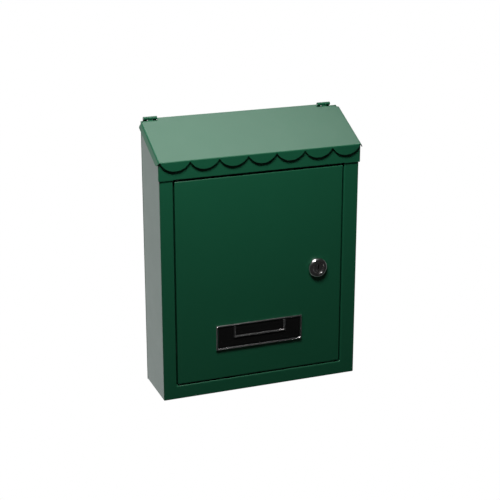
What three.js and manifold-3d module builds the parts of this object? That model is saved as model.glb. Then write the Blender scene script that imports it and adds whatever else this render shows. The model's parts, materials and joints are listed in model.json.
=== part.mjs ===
// Wall mounted letter box: a folded sheet-steel box with a scalloped lid that lifts, a front door on two
// pivots, a cam lock and a name plate.  Millimetres, +Z up.  The front faces -Y, and the wall is y = 0.
// Pieces are drawn with z = 0 at the underside of the box; the whole is then set down by MOUNT_HEIGHT,
// so that the origin is on the wall face of the back panel.

import * as THREE from 'three';
import { mergeVertices } from 'three/addons/utils/BufferGeometryUtils.js';
import Module from 'manifold-3d';

const manifold = await Module();
manifold.setup();

// ---------------------------------------------------------------- driving dimensions

const WIDTH = 210;                // across the side walls
const DEPTH = 59.4;               // wall plane to the face of the front frame
const SHEET = 0.8;                // steel sheet, every folded piece
const SEAM = 0.3;                 // left between sheets that lie on each other
const MOUNT_HEIGHT = 140;         // origin above the underside of the box

// Front frame: two stiles and a bottom rail, with lips folded inwards round the door
const STILE_LEFT = 13.7;
const STILE_RIGHT = 15.8;
const RAIL_HEIGHT = 14.3;
const STOP_WIDTH = 6;             // return of the right lip, which the door shuts on and the cam grips
const REAR_FLANGE = 10;           // flanges that the back panel is welded to

// Lid
const FOLD_HEIGHT = 249.4;        // top face at the front fold
const LID_RISE = 29.5;            // from the front fold to the rear edge
const LID_OVERHANG = 3.3;         // fold in front of the frame's face
const SKIRT_SPREAD = 62;          // degrees that the skirts are bent down from the top
const SKIRT_BEND_R = 2;           // outside of the bend
const SKIRT_CLEARANCE = 0.15;     // skirt's inner face to the band's upper corner
const SKIRT_DEPTH = 4.6;          // square to the slope
const SKIRT_TIP = 3.4;            // depth at the front end
const SKIRT_MITRE = 2.4;          // along the slope, from the front end to the full depth
const SKIRT_REAR_SETBACK = 6.6;   // along the slope, from the rear edge
const LID_CLEARANCE = 0.5;        // vertical, lid's underside to the edges below it
const SCALLOP_COUNT = 7;
const SCALLOP_MARGIN = 0.35;      // flange's end inside the flat top's side
const SCALLOP_DEPTH = 9.7;        // fold to the lowest point
const SCALLOP_VALLEY = 0.8;       // fold to the valleys

// Rolled lid hinges, each with two knuckles of the back panel and one of the lid between them
const HINGE_PIN_R = 0.65;
const HINGE_ROLL_R = 0.95;        // inside of the rolled sheet
const HINGE_INSET = 5;            // barrel's outer end inside the side wall, before the offset
const HINGE_OFFSET = -2.8;        // both hinges, to the left
const KNUCKLE_LENGTH = 4.4;
const KNUCKLE_GAP = 0.4;

// Fascia band across the top of the front
const FASCIA_DROP = 18.9;         // lid's fold to the band's lower edge
const FASCIA_WING = 9.5;          // length of the wings along the side walls
const FASCIA_CLEARANCE = 1.7;     // vertical, lid's underside to the band's upper edge
const FASCIA_RETURN = 14;         // depth of the bottom return, which holds the upper pivot

// Door
const DOOR_GAP = 1.5;             // sides and bottom
const DOOR_TOP_GAP = 2.1;
const DOOR_PAN_DEPTH = 12;
const DOOR_CHAMFER = 1;           // upright edge on the pivot side
const DOOR_STOP_GAP = 0.4;
const PIVOT_INSET = 3.4;          // axis from the door's left edge, and from its face
const PIVOT_R = 1.5;
const PIVOT_HEAD = 1.2;
const PIVOT_TAIL = 1.2;           // past the sheet that it turns in

// Cam lock
const LOCK_INSET = 27.9;          // axis from the door opening's right side
const LOCK_DROP = 105.2;          // axis below the door's upper edge
const BARREL_R = 8;
const BEZEL_RIM = 2.25;           // bezel's radius past the barrel's
const BEZEL_PROUD = 3.6;
const BEZEL_LIP = 1;              // flat ring round the plug
const BEZEL_DOME = [1.6, 2.5];    // where the dome turns over: inside the rim, above the door
const BEZEL_EDGE = 0.7;           // height of the bezel's upright edge
const PLUG_R = 5.6;
const PLUG_RECESS = 0.9;
const KEYWAY = [1.4, 6.4, 9];     // width, height, depth
const WASHER_RIM = 3;
const NUT_WALL = 2;               // at the flats, past the barrel
const NUT_THICKNESS = 4;
const CAM_LENGTH = 26.5;
const CAM_WIDTH = 10;
const CAM_HEAD_RIM = 2.5;         // past the corners of the square hole
const CAM_THICKNESS = 2;
const CAM_CLEARANCE = 0.5;
const TAIL_SQUARE = 6.4;
const SCREW_R = 2;
const SCREW_HEAD_RIM = 2.2;
const SCREW_HEAD = 2.4;
const SCREW_HEAD_SLOPE = [1, 0.6]; // bevel round the head, across and along
const SCREW_LENGTH = 8;

// Name plate
const PLATE_RISE = 44.7;          // middle above the door's lower edge
const PLATE_OFFSET = -1.2;        // middle from the middle of the door
const PLATE_WIDTH = 93.5;
const PLATE_HEIGHT = 26.7;
const BEAD = 2;                   // width of the frame's and the retainer's bars
const FRAME_PROUD = 1.6;
const BACKING_THICKNESS = 0.8;
const RETAINER_WIDTH = 56;
const RETAINER_DROP = 14.6;       // below the frame's upper edge
const RETAINER_PROUD = 1;
const STUD_R = 1.3;
const STUD_LENGTH = 3.4;
const STUD_INSET = 9.8;           // from the frame's ends
const PUSH_NUT_R = 4;
const PUSH_NUT_THICKNESS = 0.5;

// Wall screw holes in the back panel
const SCREW_HOLE_R = 3.3;
const SCREW_HOLE_X = 80;
const SCREW_HOLE_LOW = 30;
const SCREW_HOLE_BELOW_TOP = 26;

// Sides of a full circle
const FINE = 48;
const COARSE = 24;
const BEND_STEPS = 5;             // flats in the bend of a skirt

// ---------------------------------------------------------------- derived places

const frontFace = -DEPTH;
const wallInner = WIDTH / 2 - SHEET;
const backSeam = -(SHEET + SEAM);                 // rear face of the welded flanges
const openLeft = -WIDTH / 2 + STILE_LEFT;
const openRight = WIDTH / 2 - STILE_RIGHT;
const fasciaBottom = FOLD_HEIGHT - FASCIA_DROP;

const foldY = frontFace - LID_OVERHANG;
const lidAngle = Math.atan2(LID_RISE, -foldY);
const lidLength = Math.hypot(LID_RISE, foldY);
const sheetDrop = SHEET / Math.cos(lidAngle);     // thickness of the sloping sheet, measured upright
const lidTop = (y) => FOLD_HEIGHT + (y - foldY) * Math.tan(lidAngle);
const underLid = (y, clearance = LID_CLEARANCE) => lidTop(y) - sheetDrop - clearance;
const overBand = (y) => underLid(y, FASCIA_CLEARANCE);

// Skirts: a bend out of the flat top, then straight.  The band's upper corner sets how far apart they are.
const skirtTurn = THREE.MathUtils.degToRad(SKIRT_SPREAD);
const skirtInnerR = SKIRT_BEND_R - SHEET;
const skirtRun = (r, depth) => r * Math.sin(skirtTurn)
  + (depth - SKIRT_BEND_R + r * Math.cos(skirtTurn)) / Math.tan(skirtTurn);
const bandCorner = SHEET + FASCIA_CLEARANCE * Math.cos(lidAngle);   // depth below the lid's top face
const flatHalf = WIDTH / 2 + SEAM + SHEET + SKIRT_CLEARANCE - skirtRun(skirtInnerR, bandCorner);
const lidHalf = flatHalf + skirtRun(SKIRT_BEND_R, SKIRT_DEPTH);

const rollOuter = HINGE_ROLL_R + SHEET;
const hingeY = -rollOuter;
const hingeZ = lidTop(hingeY) + HINGE_ROLL_R / Math.cos(lidAngle);
const tailReach = Math.hypot(hingeY, lidTop(0) - sheetDrop - hingeZ);
const rearTop = hingeZ - tailReach - LID_CLEARANCE;   // top of the back panel, below the lid's swing

const doorLeft = openLeft + DOOR_GAP;
const doorRight = openRight - DOOR_GAP;
const doorBottom = RAIL_HEIGHT + DOOR_GAP;
const doorTop = fasciaBottom - DOOR_TOP_GAP;
const panEnd = frontFace + DOOR_PAN_DEPTH;
const stopFace = panEnd + DOOR_STOP_GAP;
const lipEnd = stopFace + SHEET;
const pivotX = doorLeft + PIVOT_INSET;
const pivotY = frontFace + PIVOT_INSET;
const pivotHeadR = PIVOT_INSET - SHEET - SEAM;

const camFace = lipEnd + CAM_CLEARANCE;
const barrelEnd = camFace - SEAM;
const skinBack = frontFace + SHEET;
const lockX = openRight - LOCK_INSET;
const lockZ = doorTop - LOCK_DROP;
const plateX = (doorLeft + doorRight) / 2 + PLATE_OFFSET;
const plateZ = doorBottom + PLATE_RISE;

// ---------------------------------------------------------------- solids

/** A closed three.js geometry as a solid. */
function solid(geometry) {
  const bare = geometry.index ? geometry.toNonIndexed() : geometry.clone();
  for (const name of Object.keys(bare.attributes)) if (name !== 'position') bare.deleteAttribute(name);
  const merged = mergeVertices(bare, 1e-4);
  return new manifold.Manifold(new manifold.Mesh({
    numProp: 3,
    vertProperties: Float32Array.from(merged.attributes.position.array),
    triVerts: Uint32Array.from(merged.index.array),
  }));
}

const join = (first, ...rest) => rest.reduce((sum, next) => sum.add(next), first);
const cut = (first, ...tools) => tools.reduce((sum, tool) => sum.subtract(tool), first);

/** A block between two corners. */
function block([x0, x1], [y0, y1], [z0, z1]) {
  const geometry = new THREE.BoxGeometry(x1 - x0, y1 - y0, z1 - z0);
  geometry.translate((x0 + x1) / 2, (y0 + y1) / 2, (z0 + z1) / 2);
  return solid(geometry);
}

/** Local X, Y and Z carried to three row axes: a side outline swept along X, Y or Z. */
const SWEEP = {
  X: new THREE.Matrix4().makeBasis(
    new THREE.Vector3(0, 1, 0), new THREE.Vector3(0, 0, 1), new THREE.Vector3(1, 0, 0)),
  Y: new THREE.Matrix4().makeBasis(
    new THREE.Vector3(1, 0, 0), new THREE.Vector3(0, 0, 1), new THREE.Vector3(0, -1, 0)),
  Z: new THREE.Matrix4(),
};

/** An outline extruded along an axis from one place to another; a Y sweep starts at its high end. */
function prism(axis, outline, [low, high]) {
  const shape = Array.isArray(outline)
    ? new THREE.Shape(outline.map(([u, v]) => new THREE.Vector2(u, v))) : outline;
  const geometry = new THREE.ExtrudeGeometry(shape, {
    depth: high - low, bevelEnabled: false, curveSegments: COARSE / 2,
  });
  geometry.applyMatrix4(SWEEP[axis]);
  const start = axis === 'X' ? [low, 0, 0] : axis === 'Y' ? [0, high, 0] : [0, 0, low];
  geometry.translate(...start);
  return solid(geometry);
}

/** A profile of [radius, height] points turned about an axis through a point; heights run along +axis. */
function turned(axis, [x, y, z], profile, sides = FINE) {
  const geometry = new THREE.LatheGeometry(profile.map(([r, h]) => new THREE.Vector2(r, h)), sides);
  if (axis === 'X') geometry.rotateZ(-Math.PI / 2);
  if (axis === 'Z') geometry.rotateX(Math.PI / 2);
  geometry.translate(x, y, z);
  return solid(geometry);
}

/** A round bar along an axis, between two places on it. */
function rod(axis, [u, v], radius, [low, high], sides = COARSE) {
  const at = { X: [0, u, v], Y: [u, 0, v], Z: [u, v, 0] }[axis];
  return turned(axis, at, [[0, low], [radius, low], [radius, high], [0, high]], sides);
}

/** A washer or tube along an axis. */
function ring(axis, [u, v], inner, outer, [low, high], sides = COARSE) {
  return cut(rod(axis, [u, v], outer, [low, high], sides),
    rod(axis, [u, v], inner, [low - 1, high + 1], sides));
}

// ---------------------------------------------------------------- materials and the assembly

const FINISH = {
  paint: { color: 0x11402c, roughness: 0.35, metalness: 0.1 },
  chrome: { color: 0xc9cbcd, roughness: 0.12, metalness: 1 },
  steel: { color: 0x9da0a3, roughness: 0.35, metalness: 1 },
  black: { color: 0x0b0c0c, roughness: 0.3, metalness: 0 },
};

const letterBox = new THREE.Group();
letterBox.position.z = -MOUNT_HEIGHT;

/** Puts a solid into the assembly as a named piece. */
function piece(name, finish, body) {
  const { numProp, vertProperties, triVerts } = body.getMesh();
  const position = new Float32Array((vertProperties.length / numProp) * 3);
  for (let i = 0; i < position.length / 3; i += 1) {
    position.set(vertProperties.subarray(i * numProp, i * numProp + 3), i * 3);
  }
  const geometry = new THREE.BufferGeometry();
  geometry.setAttribute('position', new THREE.BufferAttribute(position, 3));
  geometry.setIndex(new THREE.BufferAttribute(Uint32Array.from(triVerts), 1));
  geometry.computeVertexNormals();
  const mesh = new THREE.Mesh(geometry, new THREE.MeshStandardMaterial(FINISH[finish]));
  mesh.name = name;
  letterBox.add(mesh);
}

// ---------------------------------------------------------------- box

/** Side walls, bottom, front frame and rear flanges, folded from one sheet. */
function bodyShell() {
  const shoulderY = foldY + (rearTop - FOLD_HEIGHT + sheetDrop + LID_CLEARANCE) / Math.tan(lidAngle);
  const side = [
    [frontFace, 0], [backSeam, 0], [backSeam, rearTop], [shoulderY, rearTop],
    [frontFace, underLid(frontFace)],
  ];
  const stileTop = underLid(frontFace) - SHEET;
  const wide = [-WIDTH / 2, WIDTH / 2];
  const lipDepth = [frontFace, lipEnd];
  const flangeY = [backSeam - SHEET, backSeam];
  const rearFlange = (x) => block(x, flangeY, [0, rearTop]);
  const body = join(
    prism('X', side, [-WIDTH / 2, -wallInner]),
    prism('X', side, [wallInner, WIDTH / 2]),
    block(wide, [frontFace, backSeam], [0, SHEET]),
    block([-WIDTH / 2, openLeft], [frontFace, skinBack], [0, stileTop]),
    block([openRight, WIDTH / 2], [frontFace, skinBack], [0, stileTop]),
    block(wide, [frontFace, skinBack], [0, RAIL_HEIGHT]),
    block([openLeft - SHEET, openLeft], lipDepth, [RAIL_HEIGHT - SHEET, stileTop]),
    block([openRight, openRight + SHEET], lipDepth, [RAIL_HEIGHT - SHEET, stileTop]),
    block([openLeft - SHEET, openRight + SHEET], lipDepth, [RAIL_HEIGHT - SHEET, RAIL_HEIGHT]),
    block([openRight - STOP_WIDTH, openRight + SHEET], [stopFace, lipEnd],
      [RAIL_HEIGHT - SHEET, doorTop]),
    rearFlange([-WIDTH / 2, -WIDTH / 2 + REAR_FLANGE]),
    rearFlange([WIDTH / 2 - REAR_FLANGE, WIDTH / 2]),
    block(wide, flangeY, [0, REAR_FLANGE]),
  );
  const throughLip = [RAIL_HEIGHT - 2 * SHEET, RAIL_HEIGHT + SHEET];
  return cut(body, rod('Z', [pivotX, pivotY], PIVOT_R + SEAM, throughLip));
}

/** Where the knuckles of the hinge on one side lie, as [inner end, outer end] along x from the middle. */
function knuckles() {
  const outer = WIDTH / 2 - HINGE_INSET;
  const pitch = KNUCKLE_LENGTH + KNUCKLE_GAP;
  return [2, 1, 0].map((n) => [outer - n * pitch - KNUCKLE_LENGTH, outer - n * pitch]);
}

/** The same stretch on the left or the right side. */
const mirrored = (side, [inner, outer]) => (side < 0 ? [-outer, -inner] : [inner, outer]);

/** A stretch of the hinge on one side, where that hinge is. */
const atHinge = (side, ends) => mirrored(side, ends).map((x) => x + HINGE_OFFSET);

/** Back panel with four screw holes, and four knuckles rolled from its upper edge. */
function backPanel() {
  let panel = block([-WIDTH / 2, WIDTH / 2], [-SHEET, 0], [0, rearTop]);
  for (const side of [-1, 1]) {
    const [inner, , outer] = knuckles();
    for (const stretch of [inner, outer].map((ends) => atHinge(side, ends))) {
      const tongue = block(stretch, [-SHEET, 0], [rearTop - SHEET, hingeZ]);
      const roll = ring('X', [hingeY, hingeZ], HINGE_ROLL_R, rollOuter, stretch);
      const bore = rod('X', [hingeY, hingeZ], HINGE_ROLL_R, stretch);
      panel = join(panel, cut(tongue, bore), roll);
    }
    for (const z of [SCREW_HOLE_LOW, rearTop - SCREW_HOLE_BELOW_TOP]) {
      panel = cut(panel, rod('Y', [side * SCREW_HOLE_X, z], SCREW_HOLE_R, [-2 * SHEET, SHEET]));
    }
  }
  return panel;
}

/** Band across the top of the front: its wings lap the side walls, its return holds the upper pivot. */
function fascia() {
  const back = frontFace - SEAM;
  const front = back - SHEET;
  const wingEnd = front + FASCIA_WING;
  const wing = [
    [front, fasciaBottom], [wingEnd, fasciaBottom], [wingEnd, overBand(wingEnd)], [front, overBand(front)],
  ];
  const wingInner = WIDTH / 2 + SEAM;
  const wingOuter = wingInner + SHEET;
  const returnEnd = front + FASCIA_RETURN;
  const body = join(
    block([-wingOuter, wingOuter], [front, back], [fasciaBottom, overBand(front)]),
    prism('X', wing, [-wingOuter, -wingInner]),
    prism('X', wing, [wingInner, wingOuter]),
    block([openLeft + SEAM, openRight - SEAM], [front, returnEnd], [fasciaBottom, fasciaBottom + SHEET]),
  );
  const holeHeights = [fasciaBottom - SHEET, fasciaBottom + 2 * SHEET];
  return cut(body, rod('Z', [pivotX, pivotY], PIVOT_R + SEAM, holeHeights));
}

// ---------------------------------------------------------------- lid

/** A place on the lid's side view: s along the slope from the fold, t square to it and down. */
function onSlope(s, t) {
  const [c, d] = [Math.cos(lidAngle), Math.sin(lidAngle)];
  return [foldY + s * c + t * d, FOLD_HEIGHT + s * d - t * c];
}

/** The front flange: a row of equal arcs that meet in valleys just under the fold. */
function scallopedFlange() {
  const half = flatHalf - SCALLOP_MARGIN;
  const pitch = (2 * half) / SCALLOP_COUNT;
  const valley = FOLD_HEIGHT - SCALLOP_VALLEY;
  const sagitta = SCALLOP_DEPTH - SCALLOP_VALLEY;
  const radius = (pitch ** 2 / 4 + sagitta ** 2) / (2 * sagitta);
  const halfAngle = Math.asin(pitch / 2 / radius);
  const outline = new THREE.Shape();
  outline.moveTo(-half, FOLD_HEIGHT - SHEET / 2);
  outline.lineTo(-half, valley);
  for (let n = 0; n < SCALLOP_COUNT; n += 1) {
    const middle = -half + (n + 0.5) * pitch;
    const centre = valley - sagitta + radius;
    outline.absarc(middle, centre, radius, -Math.PI / 2 - halfAngle, -Math.PI / 2 + halfAngle, false);
  }
  outline.lineTo(half, FOLD_HEIGHT - SHEET / 2);
  return prism('Y', outline, [foldY, foldY + SHEET]);
}

/** A skirt's section: x past the flat top's side and depth, out round the bend and back inside it. */
function skirtSection() {
  const bendCentre = SKIRT_BEND_R;
  const arc = (r) => Array.from({ length: BEND_STEPS + 1 }, (_, i) => {
    const turn = (skirtTurn * i) / BEND_STEPS;
    return [r * Math.sin(turn), bendCentre - r * Math.cos(turn)];
  });
  const thickness = [SHEET * Math.sin(skirtTurn), -SHEET * Math.cos(skirtTurn)];
  const tip = [skirtRun(SKIRT_BEND_R, SKIRT_DEPTH), SKIRT_DEPTH];
  const innerTip = [tip[0] - thickness[0], tip[1] - thickness[1]];
  const root = [[-SHEET, SHEET], [-SHEET, 0]];
  return [...root, ...arc(SKIRT_BEND_R), tip, innerTip, ...arc(skirtInnerR).reverse()];
}

/** One skirt, drawn along the slope and trimmed to its outline in the side view. */
function skirt(side) {
  const end = lidLength - SKIRT_REAR_SETBACK;
  const half = SKIRT_DEPTH / 2;
  const roundEnd = Array.from({ length: 7 }, (_, i) => {
    const turn = (i * Math.PI) / 12;
    return onSlope(end - half + half * Math.cos(turn), half + half * Math.sin(turn));
  });
  const outline = [onSlope(SHEET, -1), onSlope(end, -1), ...roundEnd,
    onSlope(SKIRT_MITRE, SKIRT_DEPTH), onSlope(0, SKIRT_TIP), onSlope(0, SHEET / 2)].reverse();
  const section = skirtSection().map(([x, depth]) => [side * (flatHalf + x), depth]);
  const straight = new THREE.ExtrudeGeometry(
    new THREE.Shape(section.map(([x, depth]) => new THREE.Vector2(x, depth))),
    { depth: end, bevelEnabled: false },
  );
  const [down, along] = [onSlope(0, 1), onSlope(1, 0)].map(
    ([y, z]) => new THREE.Vector3(0, y - foldY, z - FOLD_HEIGHT));
  const slope = new THREE.Matrix4().makeBasis(new THREE.Vector3(1, 0, 0), down, along);
  straight.applyMatrix4(slope.setPosition(0, foldY, FOLD_HEIGHT));
  return solid(straight).intersect(prism('X', outline, mirrored(side, [0, 2 * lidHalf])));
}

/** Lid: a sloping top, two side skirts, the scalloped flange, and one rolled knuckle in each hinge. */
function lidPanel() {
  const top = prism('X', [
    [foldY, FOLD_HEIGHT], [foldY, FOLD_HEIGHT - sheetDrop], [0, lidTop(0) - sheetDrop], [0, lidTop(0)],
  ], [-flatHalf, flatHalf]);
  const tall = [FOLD_HEIGHT - SCALLOP_DEPTH, hingeZ + rollOuter];
  const rollStart = lidLength - 2 * (rollOuter + SHEET);
  const [inner, middle, outer] = knuckles();
  const notchFront = hingeY - rollOuter - LID_CLEARANCE;
  const skirtEnd = onSlope(lidLength - SKIRT_REAR_SETBACK, 0)[0];
  const bore = rod('X', [hingeY, hingeZ], HINGE_ROLL_R, [-lidHalf, lidHalf]);
  let lid = join(top, scallopedFlange());
  for (const side of [-1, 1]) {
    const [low, high] = atHinge(side, [inner[0] - KNUCKLE_GAP, outer[1] + KNUCKLE_GAP]);
    const [notchStart, notchEnd] = side < 0 ? [high, low] : [low, high];
    const past = side * (lidHalf + SHEET);
    const corner = [
      [notchStart, notchFront], [notchEnd, notchFront], [side * flatHalf, skirtEnd], [past, skirtEnd],
      [past, SHEET], [notchStart, SHEET],
    ];
    const tongue = prism('X', [
      onSlope(rollStart, 0), onSlope(rollStart, SHEET),
      [hingeY + rollOuter * Math.sin(lidAngle), hingeZ - rollOuter * Math.cos(lidAngle)],
      [hingeY + HINGE_ROLL_R * Math.sin(lidAngle), hingeZ - HINGE_ROLL_R * Math.cos(lidAngle)],
    ], atHinge(side, middle));
    const roll = ring('X', [hingeY, hingeZ], HINGE_ROLL_R, rollOuter, atHinge(side, middle));
    lid = join(lid, skirt(side));
    lid = cut(lid, prism('Z', side < 0 ? corner.reverse() : corner, tall));
    lid = join(lid, cut(tongue, bore), roll);
  }
  return lid;
}

/** Pin through the three knuckles of the hinge on one side. */
function lidHingePin(side) {
  const [inner, , outer] = knuckles();
  return rod('X', [hingeY, hingeZ], HINGE_PIN_R, atHinge(side, [inner[0], outer[1]]));
}

// ---------------------------------------------------------------- door

const studPlaces = [-1, 1].map((side) => plateX + side * (PLATE_WIDTH / 2 - STUD_INSET));

/** Door: a shallow pan with a skin and four flanges. */
function doorPanel() {
  const c = DOOR_CHAMFER;
  const outline = [
    [doorLeft + c, frontFace], [doorRight, frontFace], [doorRight, panEnd], [doorLeft, panEnd],
    [doorLeft, frontFace + c],
  ];
  const hollow = [
    [doorLeft + SHEET + c / 2, skinBack], [doorRight - SHEET, skinBack],
    [doorRight - SHEET, panEnd + 1], [doorLeft + SHEET, panEnd + 1], [doorLeft + SHEET, skinBack + c / 2],
  ];
  const pan = cut(prism('Z', outline, [doorBottom, doorTop]),
    prism('Z', hollow, [doorBottom + SHEET, doorTop - SHEET]));
  const throughSkin = [frontFace - 1, skinBack + 1];
  return cut(pan,
    rod('Z', [pivotX, pivotY], PIVOT_R + SEAM, [doorBottom - 1, doorBottom + SHEET + 1]),
    rod('Z', [pivotX, pivotY], PIVOT_R + SEAM, [doorTop - SHEET - 1, doorTop + 1]),
    rod('Y', [lockX, lockZ], BARREL_R + SEAM, throughSkin, FINE),
    ...studPlaces.map((x) => rod('Y', [x, plateZ], STUD_R + SEAM, throughSkin)));
}

/** Headed pivot: its head is inside the door, and its shank turns in the sheet beyond the gap. */
function doorPivot(headFace, tip) {
  const outward = Math.sign(tip - headFace);
  const head = headFace - outward * PIVOT_HEAD;
  const profile = [[0, head], [pivotHeadR, head], [pivotHeadR, headFace], [PIVOT_R, headFace],
    [PIVOT_R, tip], [0, tip]];
  return turned('Z', [pivotX, pivotY, 0], outward > 0 ? profile : profile.reverse(), COARSE);
}

// ---------------------------------------------------------------- lock

const lockAxis = [lockX, lockZ];
const bezelR = BARREL_R + BEZEL_RIM;
const washerR = BARREL_R + WASHER_RIM;
const camHoleHalf = TAIL_SQUARE / 2 + SEAM;
const screwHeadR = SCREW_R + SCREW_HEAD_RIM;
const bezelBack = frontFace - SEAM;
const bezelFront = bezelBack - BEZEL_PROUD;
const tailEnd = camFace + CAM_THICKNESS;
const washerY = [skinBack + SEAM, skinBack + SEAM + SHEET];
const nutY = [washerY[1] + SEAM, washerY[1] + SEAM + NUT_THICKNESS];
const camWasherY = [tailEnd + SEAM, tailEnd + SEAM + SHEET];
const screwHeadY = [camWasherY[1] + SEAM, camWasherY[1] + SEAM + SCREW_HEAD];

/** Domed bezel and threaded barrel, bored for the plug. */
function lockHousing() {
  const bore = PLUG_R + SEAM;
  const [domeInset, domeHeight] = BEZEL_DOME;
  const profile = [[bore, bezelFront], [bore + BEZEL_LIP, bezelFront],
    [bezelR - domeInset, bezelBack - domeHeight], [bezelR, bezelBack - BEZEL_EDGE],
    [bezelR, bezelBack], [BARREL_R, bezelBack],
    [BARREL_R, barrelEnd], [bore, barrelEnd], [bore, bezelFront]];
  return turned('Y', [lockX, 0, lockZ], profile);
}

/** Turning plug with its keyway, a square tail for the cam, and a hole for the cam's screw. */
function lockPlug() {
  const front = bezelFront + PLUG_RECESS;
  const [slotWidth, slotHeight, slotDepth] = KEYWAY;
  const half = TAIL_SQUARE / 2;
  return cut(
    join(rod('Y', lockAxis, PLUG_R, [front, barrelEnd], FINE),
      block([lockX - half, lockX + half], [barrelEnd - SHEET, tailEnd], [lockZ - half, lockZ + half])),
    block([lockX - slotWidth / 2, lockX + slotWidth / 2], [front - 1, front + slotDepth],
      [lockZ - slotHeight / 2, lockZ + slotHeight / 2]),
    rod('Y', lockAxis, SCREW_R + SEAM, [screwHeadY[0] - SCREW_LENGTH - SEAM, tailEnd + 1]));
}

/** Hexagon nut that clamps the door's skin. */
function lockNut() {
  const corner = (BARREL_R + NUT_WALL) / Math.cos(Math.PI / 6);
  const hexagon = Array.from({ length: 6 }, (_, i) => [
    lockX + corner * Math.cos((i * Math.PI) / 3), lockZ + corner * Math.sin((i * Math.PI) / 3)]);
  return cut(prism('Y', hexagon, nutY),
    rod('Y', lockAxis, BARREL_R + SEAM, [nutY[0] - 1, nutY[1] + 1], FINE));
}

/** Cam: a round head and an arm that hangs down when the lock is open. */
function lockCam() {
  const y = [camFace, camFace + CAM_THICKNESS];
  const tip = lockZ - CAM_LENGTH + CAM_WIDTH / 2;
  const hole = camHoleHalf;
  return cut(
    join(rod('Y', lockAxis, hole * Math.SQRT2 + CAM_HEAD_RIM, y),
      block([lockX - CAM_WIDTH / 2, lockX + CAM_WIDTH / 2], y, [tip, lockZ]),
      rod('Y', [lockX, tip], CAM_WIDTH / 2, y)),
    block([lockX - hole, lockX + hole], [y[0] - 1, y[1] + 1], [lockZ - hole, lockZ + hole]));
}

/** Screw that holds the cam on the plug's tail. */
function camScrew() {
  const [face, top] = screwHeadY;
  const [across, along] = SCREW_HEAD_SLOPE;
  const tip = face - SCREW_LENGTH;
  return turned('Y', [lockX, 0, lockZ], [[0, tip], [SCREW_R, tip], [SCREW_R, face],
    [screwHeadR, face], [screwHeadR, top - along], [screwHeadR - across, top], [0, top]], COARSE);
}

// ---------------------------------------------------------------- name plate

const plateBack = frontFace - SEAM;
const plateTop = plateZ + PLATE_HEIGHT / 2;

/** A rectangle about the name plate's middle, as a block. */
function plateBlock(width, height, y) {
  return block([plateX - width / 2, plateX + width / 2], y, [plateZ - height / 2, plateZ + height / 2]);
}

/** Frame of four bars round the plate. */
function nameFrame() {
  const y = [plateBack - FRAME_PROUD, plateBack];
  return cut(plateBlock(PLATE_WIDTH, PLATE_HEIGHT, y),
    plateBlock(PLATE_WIDTH - 2 * BEAD, PLATE_HEIGHT - 2 * BEAD, [y[0] - 1, y[1] + 1]));
}

/** Black backing inside the frame, with two studs that pass through the door's skin. */
function nameBacking() {
  const inset = 2 * (BEAD + SEAM);
  const front = plateBack - BACKING_THICKNESS;
  const stud = [front + BACKING_THICKNESS / 2, plateBack + STUD_LENGTH];
  return join(plateBlock(PLATE_WIDTH - inset, PLATE_HEIGHT - inset, [front, plateBack]),
    ...studPlaces.map((x) => rod('Y', [x, plateZ], STUD_R, stud)));
}

/** U-shaped bead that keeps the name card, open at the top. */
function nameRetainer() {
  const front = plateBack - BACKING_THICKNESS - SEAM - RETAINER_PROUD;
  const y = [front, front + RETAINER_PROUD];
  const top = plateTop - BEAD - SEAM;
  const bottom = plateTop - RETAINER_DROP;
  const half = RETAINER_WIDTH / 2;
  return cut(block([plateX - half, plateX + half], y, [bottom, top]),
    block([plateX - half + BEAD, plateX + half - BEAD], [y[0] - 1, y[1] + 1], [bottom + BEAD, top + 1]));
}

/** Push-on nut on one of the backing's studs. */
function nameNut(x) {
  const y = skinBack + SEAM;
  return ring('Y', [x, plateZ], STUD_R + SEAM, PUSH_NUT_R, [y, y + PUSH_NUT_THICKNESS]);
}

// ---------------------------------------------------------------- assembly

piece('body_shell', 'paint', bodyShell());
piece('back_panel', 'paint', backPanel());
piece('fascia', 'paint', fascia());
piece('lid_panel', 'paint', lidPanel());
piece('lid_hinge_pin_left', 'steel', lidHingePin(-1));
piece('lid_hinge_pin_right', 'steel', lidHingePin(1));

piece('door_panel', 'paint', doorPanel());
piece('door_pivot_top', 'steel',
  doorPivot(doorTop - SHEET - SEAM, fasciaBottom + SHEET + PIVOT_TAIL));
piece('door_pivot_bottom', 'steel',
  doorPivot(doorBottom + SHEET + SEAM, RAIL_HEIGHT - SHEET - PIVOT_TAIL));

piece('lock_housing', 'chrome', lockHousing());
piece('lock_washer', 'steel', ring('Y', lockAxis, BARREL_R + SEAM, washerR, washerY, FINE));
piece('lock_nut', 'steel', lockNut());
piece('lock_plug', 'chrome', lockPlug());
piece('lock_cam', 'steel', lockCam());
piece('cam_washer', 'steel', ring('Y', lockAxis, SCREW_R + SEAM, screwHeadR + 1, camWasherY));
piece('cam_screw', 'steel', camScrew());

piece('name_frame', 'chrome', nameFrame());
piece('name_backing', 'black', nameBacking());
piece('name_retainer', 'chrome', nameRetainer());
piece('name_nut_left', 'steel', nameNut(studPlaces[0]));
piece('name_nut_right', 'steel', nameNut(studPlaces[1]));

export default letterBox;
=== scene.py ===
"""Looks of a wall mounted letter box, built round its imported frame.

The box is folded from thin steel sheet and painted green: a shell with a back panel and a fascia band, a
scalloped lid on two rolled hinges, and a door on two pivots with a cam lock and a name plate.  Sheets are
drawn as the outer side of the folded metal, then the folds are rounded and the sheet is given its
thickness.  Round and flat hardware is turned from profiles.  Lengths are in metres.
"""

from __future__ import annotations

import json
import logging
import math
from dataclasses import dataclass, field
from enum import Enum
from typing import Sequence

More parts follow.
